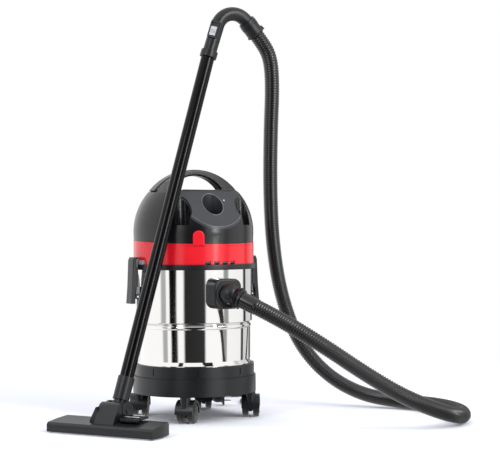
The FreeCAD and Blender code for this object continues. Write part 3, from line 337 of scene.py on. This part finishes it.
# the studio seen in the gloss: white walls with dark gaps between them, as azimuths from the camera
camera_azimuth = -115.7
studio = [(-180, 0.70), (-160, 0.70), (-156, 1.0), (-70, 1.0), (-66, 0.42), (-58, 0.42), (-56, 1.0),
          (-50, 1.0), (-47, 0.03), (-36, 0.03), (-33, 1.0), (-22, 1.0), (-18, 0.02), (21, 0.03),
          (25, 1.0), (59, 1.0), (62, 0.32), (70, 0.32), (73, 0.96), (112, 0.92), (116, 0.03),
          (122, 0.03), (125, 0.66), (155, 0.66), (159, 0.08), (164, 0.08), (168, 0.70), (180, 0.70)]

world = bpy.data.worlds.new("studio")
scene.world = world
world.use_nodes = True
tree = world.node_tree
tree.nodes.clear()
direction = add(tree, "ShaderNodeTexCoord").outputs["Generated"]
turned_view = add(tree, "ShaderNodeVectorRotate", {"Vector": direction,
                                                   "Angle": math.radians(-camera_azimuth)},
                  rotation_type="Z_AXIS")
axes = add(tree, "ShaderNodeSeparateXYZ", {"Vector": turned_view.outputs[0]})
azimuth = add(tree, "ShaderNodeMath", {0: axes.outputs["Y"], 1: axes.outputs["X"]}, operation="ARCTAN2")
share = add(tree, "ShaderNodeMapRange", {"Value": azimuth.outputs[0], "From Min": -math.pi,
                                         "From Max": math.pi})
bands = add(tree, "ShaderNodeValToRGB", {"Fac": share.outputs[0]})
stops(bands, [((a + 180) / 360, v) for a, v in studio])
overhead = add(tree, "ShaderNodeMapRange", {"Value": axes.outputs["Z"], "From Min": 0.45, "From Max": 0.75})
walls = add(tree, "ShaderNodeMix", {"Factor": overhead.outputs[0], 6: bands.outputs["Color"],
                                    7: (1.0, 1.0, 1.0, 1.0)}, data_type="RGBA")
gloss = add(tree, "ShaderNodeBackground", {"Color": walls.outputs[2], "Strength": 1.25})
soft = add(tree, "ShaderNodeBackground", {"Color": linear("f4f6ff"), "Strength": 1.05})
clean = add(tree, "ShaderNodeBackground", {"Color": (1.0, 1.0, 1.0, 1.0), "Strength": 1.0})
path_kind = add(tree, "ShaderNodeLightPath")
lit = add(tree, "ShaderNodeMixShader", {0: path_kind.outputs["Is Glossy Ray"], 1: soft.outputs[0],
                                        2: gloss.outputs[0]})
seen = add(tree, "ShaderNodeMixShader", {0: path_kind.outputs["Is Camera Ray"], 1: lit.outputs[0],
                                         2: clean.outputs[0]})
add(tree, "ShaderNodeOutputWorld", {"Surface": seen.outputs[0]})

scene.view_settings.view_transform = "Standard"


def softbox(name, place, towards, size, power):
    """Large soft area light."""
    data = bpy.data.lights.new(name, "AREA")
    data.shape = "RECTANGLE"
    data.size, data.size_y = size
    data.energy = power
    lamp = bpy.data.objects.new(name, data)
    scene.collection.objects.link(lamp)
    lamp.location = place
    lamp.rotation_euler = (Vector(towards) - Vector(place)).to_track_quat("-Z", "Y").to_euler()


softbox("strip", (1.1, -3.8, 1.7), (0, 0, 0.45), (0.40, 2.6), 66.0)
softbox("key", (1.6, -2.6, 2.4), (0, 0, 0.3), (1.0, 1.4), 34.0)
softbox("fill", (-2.6, -1.4, 1.8), (0, 0, 0.3), (1.0, 1.6), 24.0)

# ---------------------------------------------------------------- materials

def started(name, colour, roughness, metallic=0.0, ior=1.5):
    """New material with its shader and output."""
    material = bpy.data.materials.new(name)
    material.use_nodes = True
    tree = material.node_tree
    tree.nodes.clear()
    shader = add(tree, "ShaderNodeBsdfPrincipled", {"Base Color": linear(colour), "Roughness": roughness,
                                                    "Metallic": metallic})
    if not metallic:
        shader.inputs["IOR"].default_value = ior
    add(tree, "ShaderNodeOutputMaterial", {"Surface": shader.outputs[0]})
    place = add(tree, "ShaderNodeTexCoord").outputs["Object"]
    return material, tree, shader, place


def moulded(name, colour, roughness, grain=1400.0, grain_height=0.04, spread=0.04, ior=1.5, tint=None):
    """Moulded plastic: fine spark grain in the bump, and slow patches in roughness and colour."""
    material, tree, shader, place = started(name, colour, roughness, ior=ior)
    grains = add(tree, "ShaderNodeTexNoise", {"Vector": place, "Scale": grain, "Detail": 2.0,
                                              "Roughness": 0.6})
    patches = add(tree, "ShaderNodeTexNoise", {"Vector": place, "Scale": 14.0, "Detail": 4.0,
                                               "Roughness": 0.55})
    polish = add(tree, "ShaderNodeMapRange", {"Value": patches.outputs["Fac"], "From Min": 0.3,
                                              "From Max": 0.7,
                                              "To Min": roughness - spread, "To Max": roughness + spread})
    tree.links.new(polish.outputs[0], shader.inputs["Roughness"])
    blend = add(tree, "ShaderNodeMix", {"Factor": patches.outputs["Fac"], 6: linear(colour),
                                        7: linear(tint or colour)}, data_type="RGBA")
    tree.links.new(blend.outputs[2], shader.inputs["Base Color"])
    bump = add(tree, "ShaderNodeBump", {"Height": grains.outputs["Fac"], "Strength": grain_height,
                                        "Distance": 0.00008})
    tree.links.new(bump.outputs[0], shader.inputs["Normal"])
    return material


# acrylonitrile butadiene styrene, moulded in a finely sparked tool: satin, soft wide highlights
black_abs = moulded("black ABS, sparked mould", "0e0f10", 0.36, tint="141518", ior=1.42)
# the dome's tool was polished a little more, so its highlights are tighter
dome_abs = moulded("black ABS, satin mould", "0c0c0d", 0.25, tint="111113", grain_height=0.015, ior=1.5)
# polypropylene, slightly waxy and greyer, on base, rim and nozzle
black_pp = moulded("black polypropylene", "111214", 0.34, tint="17181a", grain_height=0.04, ior=1.45)
# dark grey ABS of the slanted panel, finely textured
panel_abs = moulded("grey ABS, fine texture", "2a2b2e", 0.32, tint="323337", grain=1800.0,
                    grain_height=0.05, ior=1.45)
# a polished bead where the panel and the socket end; its grey, paler than the panel's, is a painted edge
# highlight
lip_abs_painted_highlight = moulded("grey ABS bead, painted paler as edge highlight", "4c4e52", 0.25, tint="55575b", grain_height=0.02)
# red ABS from a polished tool: wet-looking gloss
red_abs = moulded("red ABS, polished mould", "c80f1c", 0.20, tint="d21624", grain=700.0, grain_height=0.02,
                  spread=0.03)
# extruded styrene tube, high gloss
gloss_tube = moulded("black extruded tube, gloss", "050506", 0.12, tint="08080a", grain=500.0,
                     grain_height=0.01, spread=0.02, ior=1.26)
# blow-moulded low density polyethylene of the hose, faintly waxy
hose_pe = moulded("black polyethylene, blow moulded", "0c0c0d", 0.22, tint="0f0f11", grain_height=0.01)
# plasticised PVC sheath of the mains lead, dull with a soft sheen
pvc_lead = moulded("black PVC lead sheath", "111111", 0.45, tint="191818", grain=900.0, grain_height=0.10)
# nitrile rubber, dead matt
nitrile = moulded("nitrile rubber", "1a1a1a", 0.68, tint="222222", grain=600.0, grain_height=0.20)
# glass-filled nylon of the latch links and catches: mid grey, slightly mottled
latch_nylon = moulded("grey glass-filled nylon", "85888c", 0.38, tint="787b80", grain=1000.0,
                      grain_height=0.10)
# light nylon of the air slider
slider_nylon = moulded("light grey nylon", "a7a9ac", 0.32, tint="b2b4b6", grain_height=0.06)
# hard wheel tread
wheel_pp = moulded("black wheel polypropylene", "121314", 0.42, tint="1a1b1c", grain_height=0.18)
# motor housing moulding compound
motor_mould = moulded("ivory thermoset moulding", "b8b3a2", 0.50, tint="a9a493", grain_height=0.15)
float_ps = moulded("white polystyrene", "dcdcd6", 0.35, tint="d2d2ca", grain_height=0.04)


def polished_stainless():
    """Stainless sheet, bright annealed and buffed: a near mirror with slow ripples and faint lines."""
    material, tree, shader, place = started("stainless sheet, mirror buffed", "e2e1e0", 0.06, metallic=1.0)
    lines_place = add(tree, "ShaderNodeMapping", {"Vector": place, "Scale": (900.0, 900.0, 14.0)})
    lines = add(tree, "ShaderNodeTexNoise", {"Vector": lines_place.outputs[0], "Scale": 1.0, "Detail": 3.0})
    slow_place = add(tree, "ShaderNodeMapping", {"Vector": place, "Scale": (9.0, 9.0, 3.0)})
    slow = add(tree, "ShaderNodeTexNoise", {"Vector": slow_place.outputs[0], "Scale": 1.0, "Detail": 2.0})
    polish = add(tree, "ShaderNodeMapRange", {"Value": lines.outputs["Fac"], "From Min": 0.35,
                                              "From Max": 0.7, "To Min": 0.035, "To Max": 0.10})
    tree.links.new(polish.outputs[0], shader.inputs["Roughness"])
    ripple = add(tree, "ShaderNodeBump", {"Height": slow.outputs["Fac"], "Strength": 0.12,
                                          "Distance": 0.004})
    scratch = add(tree, "ShaderNodeBump", {"Height": lines.outputs["Fac"], "Strength": 0.03,
                                           "Distance": 0.0001, "Normal": ripple.outputs[0]})
    tree.links.new(scratch.outputs[0], shader.inputs["Normal"])
    return material


def zinc_steel():
    """Zinc-plated, passivated steel: grey with cloudy spangle."""
    material, tree, shader, place = started("zinc plated steel", "b9bcbf", 0.30, metallic=1.0)
    cloud = add(tree, "ShaderNodeTexVoronoi", {"Vector": place, "Scale": 400.0})
    polish = add(tree, "ShaderNodeMapRange", {"Value": cloud.outputs["Distance"], "To Min": 0.24,
                                              "To Max": 0.42})
    tree.links.new(polish.outputs[0], shader.inputs["Roughness"])
    return material


def chromed():
    """Bright chromed trim: mirror with slight orange peel."""
    material, tree, shader, place = started("chromed trim", "e6e6e6", 0.08, metallic=1.0)
    peel = add(tree, "ShaderNodeTexNoise", {"Vector": place, "Scale": 260.0, "Detail": 1.0})
    bump = add(tree, "ShaderNodeBump", {"Height": peel.outputs["Fac"], "Strength": 0.05, "Distance": 0.0002})
    tree.links.new(bump.outputs[0], shader.inputs["Normal"])
    return material


def open_foam():
    """Open-cell polyurethane foam: pale cell walls, with painted shade darkening the sunken pores between
    them.
    """
    material, tree, shader, place = started("polyurethane foam, open cell", "4c4d50", 0.92)
    cells = add(tree, "ShaderNodeTexVoronoi", {"Vector": place, "Scale": 700.0}, feature="DISTANCE_TO_EDGE")
    # painted shade: the colour darkens towards each cell's sunken middle
    tone = add(tree, "ShaderNodeMix", {"Factor": cells.outputs["Distance"], 6: linear("66686c"),
                                       7: linear("2c2d30")}, data_type="RGBA")
    tree.links.new(tone.outputs[2], shader.inputs["Base Color"])
    bump = add(tree, "ShaderNodeBump", {"Height": cells.outputs["Distance"], "Strength": 0.7,
                                        "Distance": 0.0006},
               invert=True)
    tree.links.new(bump.outputs[0], shader.inputs["Normal"])
    return material


def nylon_bristle():
    """Packed nylon bristles: fine upright lines."""
    material, tree, shader, place = started("nylon bristle", "202022", 0.55)
    strands_place = add(tree, "ShaderNodeMapping", {"Vector": place, "Scale": (1600.0, 1600.0, 40.0)})
    strands = add(tree, "ShaderNodeTexNoise", {"Vector": strands_place.outputs[0], "Scale": 1.0,
                                               "Detail": 1.0})
    tone = add(tree, "ShaderNodeMix", {"Factor": strands.outputs["Fac"], 6: linear("121213"),
                                       7: linear("3a3a3d")}, data_type="RGBA")
    tree.links.new(tone.outputs[2], shader.inputs["Base Color"])
    bump = add(tree, "ShaderNodeBump", {"Height": strands.outputs["Fac"], "Strength": 0.8,
                                        "Distance": 0.0005})
    tree.links.new(bump.outputs[0], shader.inputs["Normal"])
    return material


def wound_copper():
    """Enamelled copper windings: close rings round the armature."""
    material, tree, shader, place = started("enamelled copper windings", "a4582c", 0.30, metallic=1.0)
    wires = add(tree, "ShaderNodeTexWave", {"Vector": place, "Scale": 300.0, "Distortion": 0.4},
                bands_direction="Z")
    bump = add(tree, "ShaderNodeBump", {"Height": wires.outputs["Fac"], "Strength": 0.5, "Distance": 0.0004})
    tree.links.new(bump.outputs[0], shader.inputs["Normal"])
    return material


def pressed_aluminium():
    """Pressed aluminium sheet with faint rolling lines."""
    material, tree, shader, place = started("pressed aluminium sheet", "d3d5d8", 0.28, metallic=1.0)
    rolled = add(tree, "ShaderNodeMapping", {"Vector": place, "Scale": (30.0, 900.0, 900.0)})
    lines = add(tree, "ShaderNodeTexNoise", {"Vector": rolled.outputs[0], "Scale": 1.0})
    polish = add(tree, "ShaderNodeMapRange", {"Value": lines.outputs["Fac"], "To Min": 0.2, "To Max": 0.38})
    tree.links.new(polish.outputs[0], shader.inputs["Roughness"])
    return material


def studio_floor():
    """White sweep of matt painted board."""
    material, tree, shader, place = started("white painted board", "f6f7fa", 0.75)
    shader.inputs["Specular IOR Level"].default_value = 0.15
    return material


stainless = polished_stainless()
zinc = zinc_steel()
chrome = chromed()
foam = open_foam()
bristle = nylon_bristle()
copper = wound_copper()
aluminium = pressed_aluminium()
floor.data.materials.append(studio_floor())

finishes = {
    "drum_shell": stainless, "drum_rim": black_pp, "drum_base": black_pp, "caster_stems": zinc,
    "inlet_housing": black_abs, "inlet_sleeve": black_abs, "inlet_deflector": black_abs,
    "latch_brackets": black_abs, "latch_fasteners": zinc, "head_gasket": nitrile,
    "wand_lower": gloss_tube, "wand_upper": gloss_tube, "wand_handle": black_abs, "handle_collar": black_abs,
    "neck_socket": black_abs, "neck_elbow": black_abs, "head_band": red_abs, "head_dome": dome_abs,
    "front_panel": panel_abs, "carry_handle": dome_abs, "latch_catches": latch_nylon, "motor_plate": black_pp,
    "head_screws": zinc, "motor_can": motor_mould, "motor_bearings": zinc, "exhaust_foam": foam,
    "float_cage": black_pp, "filter_sleeve": foam, "switch_case": black_abs, "cord_gland": nitrile,
    "motor_rotor": copper, "suction_fan": aluminium, "valve_float": float_ps, "switch_rocker": red_abs,
    "hose_elbow": black_abs, "hose_cuff": black_abs, "air_slider": slider_nylon, "nozzle_body": black_pp,
    "nozzle_sole": zinc, "neck_pin": zinc, "nozzle_brush": bristle, "nozzle_rollers": wheel_pp,
    "nozzle_pedal": black_abs, "power_plug": pvc_lead, "power_lead": pvc_lead, "plug_lead": pvc_lead,
    "lead_coil": pvc_lead, "suction_hose": hose_pe}
for side in ("left", "right"):
    finishes["latch_hook_" + side] = latch_nylon
    finishes["latch_lever_" + side] = black_abs
for corner in ("front_left", "front_right", "rear_right", "rear_left"):
    finishes["caster_fork_" + corner] = black_pp
    finishes["caster_wheels_" + corner] = wheel_pp
for node, finish in finishes.items():
    slots = nodes[node].data.materials
    for index in range(len(slots)):
        slots[index] = finish
    if not len(slots):
        slots.append(finish)


def dressed(piece, finish, body):
    """Gives a new piece its material and body."""
    piece.data.materials.clear()
    piece.data.materials.append(finish)
    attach(piece, body)


dressed(hose, hose_pe, "root")
dressed(sleeve, hose_pe, "root")
dressed(lead, pvc_lead, "root")
dressed(plug_body, pvc_lead, "root")
for piece in plug_pins:
    if "prong" in piece.name:
        dressed(piece, chrome, "root")
    else:
        dressed(piece, pvc_lead, "root")

# ---------------------------------------------------------------- small mouldings

def bead(name, places, radius, closed=False):
    """Round bead along points in millimetres."""
    data = bpy.data.curves.new(name, "CURVE")
    data.dimensions = "3D"
    spline = data.splines.new("POLY")
    spline.points.add(len(places) - 1)
    for point, place in zip(spline.points, places):
        point.co = (*(c * mm for c in place), 1.0)
    spline.use_cyclic_u = closed
    data.bevel_depth = radius * mm
    data.bevel_resolution = 3
    data.use_fill_caps = not closed
    line = bpy.data.objects.new(name, data)
    scene.collection.objects.link(line)
    take(line)
    bpy.ops.object.convert(target="MESH")
    piece = settle(bpy.context.object, name)
    bpy.ops.object.shade_smooth()
    return piece


def slab(name, size, place, width, turn=(0, 0, 0)):
    """Block with rounded edges, placed in millimetres and turned by degrees."""
    deselect()
    bpy.ops.mesh.primitive_cube_add(size=1, location=[c * mm for c in place],
                                    rotation=[math.radians(a) for a in turn])
    piece = bpy.context.object
    piece.scale = [c * mm for c in size]
    bpy.ops.object.transform_apply(location=False, rotation=False, scale=True)
    bevel = piece.modifiers.new("edges", "BEVEL")
    bevel.width = width * mm
    bevel.segments = 3
    apply_modifiers(piece)
    bpy.ops.object.shade_smooth_by_angle(angle=math.radians(35))
    return settle(piece, name)


# the panel's plane, and the dome's profile as an arc through three points
panel_edge = (-85.0, 592.0)
panel_rise = math.tan(math.radians(52.8))
arc_points = ((156.8, 471.0), (147.0, 542.0), (118.0, 592.0))


def arc_through(a, b, c):
    """Centre and radius of the circle through three points."""
    d = 2 * (a[0] * (b[1] - c[1]) + b[0] * (c[1] - a[1]) + c[0] * (a[1] - b[1]))
    squares = [p[0] ** 2 + p[1] ** 2 for p in (a, b, c)]
    x = (squares[0] * (b[1] - c[1]) + squares[1] * (c[1] - a[1]) + squares[2] * (a[1] - b[1])) / d
    y = (squares[0] * (c[0] - b[0]) + squares[1] * (a[0] - c[0]) + squares[2] * (b[0] - a[0])) / d
    return x, y, math.hypot(a[0] - x, a[1] - y)


arc_x, arc_z, arc_r = arc_through(*arc_points)


def panel_border(start, end, steps, lift):
    """Points where the panel's plane meets the dome, between two azimuths."""
    places = []
    for step in range(steps + 1):
        angle = math.radians(start + (end - start) * step / steps)
        low, high = 471.0, 592.0
        for _ in range(30):
            z = (low + high) / 2
            radius = arc_x + math.sqrt(max(arc_r ** 2 - (z - arc_z) ** 2, 0.0))
            plane_z = panel_edge[1] + (radius * math.sin(angle) - panel_edge[0]) * panel_rise
            low, high = (z, high) if z < plane_z else (low, z)
        places.append(((radius + lift) * math.cos(angle), (radius + lift) * math.sin(angle), z))
    return places


panel_lip = bead("panel_lip", panel_border(-117.5, -62.5, 60, -0.4), 1.5)
# the socket's rim: a circle about the leaning socket, slid along its axis onto the panel's plane
rim_lean = math.radians(20.0)
rim_r = 29.0
socket_y = -113.0
socket_z = panel_edge[1] + (socket_y - panel_edge[0]) * panel_rise
rim_steps = 64
socket_rim = []
for step in range(rim_steps):
    angle = math.tau * step / rim_steps
    y = socket_y + rim_r * math.sin(angle) * math.cos(rim_lean)
    z = socket_z + rim_r * math.sin(angle) * math.sin(rim_lean)
    slip = (z - panel_edge[1] - (y - panel_edge[0]) * panel_rise) / (panel_rise * math.sin(rim_lean)
                                                                     + math.cos(rim_lean))
    socket_rim.append((rim_r * math.cos(angle), y + slip * math.sin(rim_lean),
                       z - slip * math.cos(rim_lean)))
socket_lip = bead("socket_lip", socket_rim, 1.6, closed=True)
# the beads take the paler grey that paints their edge highlight
for piece in (panel_lip, socket_lip):
    dressed(piece, lip_abs_painted_highlight, "head")

top_lip = bead("panel_top_lip", [(-70.0, -85.6, 592.6), (-40.0, -85.2, 592.4), (0.0, -85.2, 592.2),
                                 (40.0, -85.2, 592.4), (70.0, -85.6, 592.6)], 1.4)
dressed(top_lip, dome_abs, "head")
# three upright ribs on the back wall of each tool pocket
pocket_centre_r = 146.0
rib_circle_r = 18.6
for pocket, lean in (("left", -36.0), ("right", 36.0)):
    for index, offset in enumerate((-38.4, 0.0, 38.4)):
        spread = math.radians(90.0 + lean + offset)
        x = pocket_centre_r * math.sin(math.radians(lean)) + rib_circle_r * math.cos(spread)
        y = -pocket_centre_r * math.cos(math.radians(lean)) + rib_circle_r * math.sin(spread)
        groove = bead("pocket_rib_%s_%d" % (pocket, index + 1),
                      [(x, y, 503.0), (x, y, 536.0), (x, y, 540.0)], 1.3)
        dressed(groove, dome_abs, "head")

# swivel collar between the elbow's ball and the hose, and a ring on the housing's socket
elbow_middle = Vector((0.0, -208.5, 329.0))
hose_way = Vector((0.597, -0.692, -0.404)).normalized()
collar = turned("elbow_collar", [(20.6, 13.0), (22.6, 13.4), (24.6, 17.0), (26.0, 21.0), (27.4, 22.0),
                                 (28.0, 23.4), (28.0, 25.6), (27.2, 26.8), (25.0, 27.2), (20.4, 27.2)], 72)
settle(along(collar, hose_way, elbow_middle), "elbow_collar")
dressed(collar, gloss_tube, "root")
housing_ring = turned("socket_ring", [(27.6, -3.0), (31.4, -3.0), (32.4, -1.6), (32.4, 0.6), (31.4, 1.8),
                                      (28.6, 2.2), (27.6, 1.0)], 72)
settle(along(housing_ring, (0, -1, 0), (0, -197.8, 329.0)), "socket_ring")
dressed(housing_ring, gloss_tube, "root")

# bright grip strips on the pedal, and a ridge along the nozzle's front
nozzle_foot = Vector((-356.38, -211.41, 0.0))
nozzle_turn = -57.25


def on_nozzle(place):
    """Nozzle's own x along its length, y back and z up, as a place in the shared frame."""
    a = math.radians(nozzle_turn)
    x, y, z = place
    return (nozzle_foot.x + x * math.cos(a) - y * math.sin(a),
            nozzle_foot.y + x * math.sin(a) + y * math.cos(a), z)


for index, (y, z) in enumerate(((51.1, 44.7), (71.1, 46.1))):
    strip = slab("grip_strip_%d" % (index + 1), (43.0, 6.4, 1.6), on_nozzle((62.0, y, z)), 0.6,
                 turn=(4.0, 0, nozzle_turn))
    dressed(strip, chrome, "pedal")
ridge = slab("front_ridge", (302.0, 2.0, 2.2), on_nozzle((0.0, 0.2, 12.0)), 0.8, turn=(0, 0, nozzle_turn))
dressed(ridge, black_pp, "nozzle")
for side in (-1, 1):
    cap = turned("cap", [(0.02, 0.0), (7.4, 0.0), (8.6, -0.6), (9.2, -1.8), (9.2, -3.0)], 48)
    settle(along(cap, Vector(on_nozzle((side, 0, 0))) - nozzle_foot, on_nozzle((side * 31.2, 84.0, 55.0))),
           "pivot_cap_%s" % ("left" if side < 0 else "right"))
    dressed(cap, black_abs, "nozzle")

# hub discs of the casters, pressed into the wheels' outer faces
caster_circle_r = 148.0
caster_trail = 16.0
wheel_r = 28.0
wheel_face = 21.2              # from the middle of the axle to a wheel's outer face
casters = {"front_left": (-125.0, 46.0), "front_right": (-35.0, 60.0), "rear_right": (55.0, 66.0),
           "rear_left": (145.0, 58.0)}          # place round the base and heading, in degrees
for corner, (spot, heading) in casters.items():
    a, h = math.radians(spot), math.radians(heading)
    axle = Vector((caster_circle_r * math.cos(a) + caster_trail * math.cos(h),
                   caster_circle_r * math.sin(a) + caster_trail * math.sin(h), wheel_r))
    across = Vector((-math.sin(h), math.cos(h), 0.0))
    for side in (-1, 1):
        disc = turned("disc", [(0.02, 1.0), (5.0, 1.0), (6.0, 0.4), (7.0, 0.4), (7.8, 1.3), (18.5, 1.5),
                               (20.2, 1.0), (20.6, 0.0), (20.6, -1.0)], 56)
        settle(along(disc, across * side, axle + across * side * wheel_face),
               "hub_disc_%s_%s" % (corner, "out" if side > 0 else "in"))
        dressed(disc, black_pp, "wheels_" + corner)

# thumb tab on the cuff's rim
cuff_slope = math.radians(48.0)
cuff_axis = Vector((math.cos(-cuff_slope), 0.0, math.sin(-cuff_slope)))
cuff_up = Vector((math.sin(cuff_slope), 0.0, math.cos(cuff_slope)))
hose_inside_cuff = 30.0
handle_end = Vector((141.0, -75.0, 1014.2)) - cuff_axis * hose_inside_cuff
tab = slab("cuff_tab", (13.0, 12.0, 3.0), handle_end + cuff_axis * 41.0 + cuff_up * 25.6, 1.2,
           turn=(0, 38.0, 0))
dressed(tab, black_abs, "cuff")
grip = turned("cuff_grip", [(22.3, 8.0), (23.4, 8.6), (23.4, 12.0), (22.4, 12.6), (22.4, 15.0), (23.4, 15.6),
                            (23.4, 19.0), (22.3, 19.6)], 64)
settle(along(grip, cuff_axis, handle_end), "cuff_grip")
dressed(grip, black_abs, "cuff")

# ---------------------------------------------------------------- moulded edges

def eased(node, width, segments=2, angle=33.0):
    """Rounds a CAD node's sharp edges a little, as its mould does."""
    piece = nodes[node]
    weld = piece.modifiers.new("weld", "WELD")
    weld.merge_threshold = 0.00001
    bevel = piece.modifiers.new("edges", "BEVEL")
    bevel.width = width * mm
    bevel.segments = segments
    bevel.limit_method = "ANGLE"
    bevel.angle_limit = math.radians(angle)
    normals = piece.modifiers.new("normals", "WEIGHTED_NORMAL")
    normals.keep_sharp = False


for node, width in (("drum_base", 1.2), ("drum_rim", 0.8), ("inlet_housing", 1.5), ("carry_handle", 1.0),
                    ("latch_brackets", 0.6), ("handle_collar", 0.8), ("hose_cuff", 1.0), ("neck_socket",
                                                                                          1.0),
                    ("nozzle_body", 1.6), ("nozzle_pedal", 0.6), ("air_slider", 0.4), ("head_band", 0.7),
                    ("latch_catches", 0.6), ("front_panel", 0.8), ("head_dome", 0.8)):
    eased(node, width)
for side in ("left", "right"):
    eased("latch_hook_" + side, 0.5)
    eased("latch_lever_" + side, 1.2)
for corner in ("front_left", "front_right", "rear_right", "rear_left"):
    eased("caster_fork_" + corner, 0.8)

# ---------------------------------------------------------------- last, let go of everything

deselect()
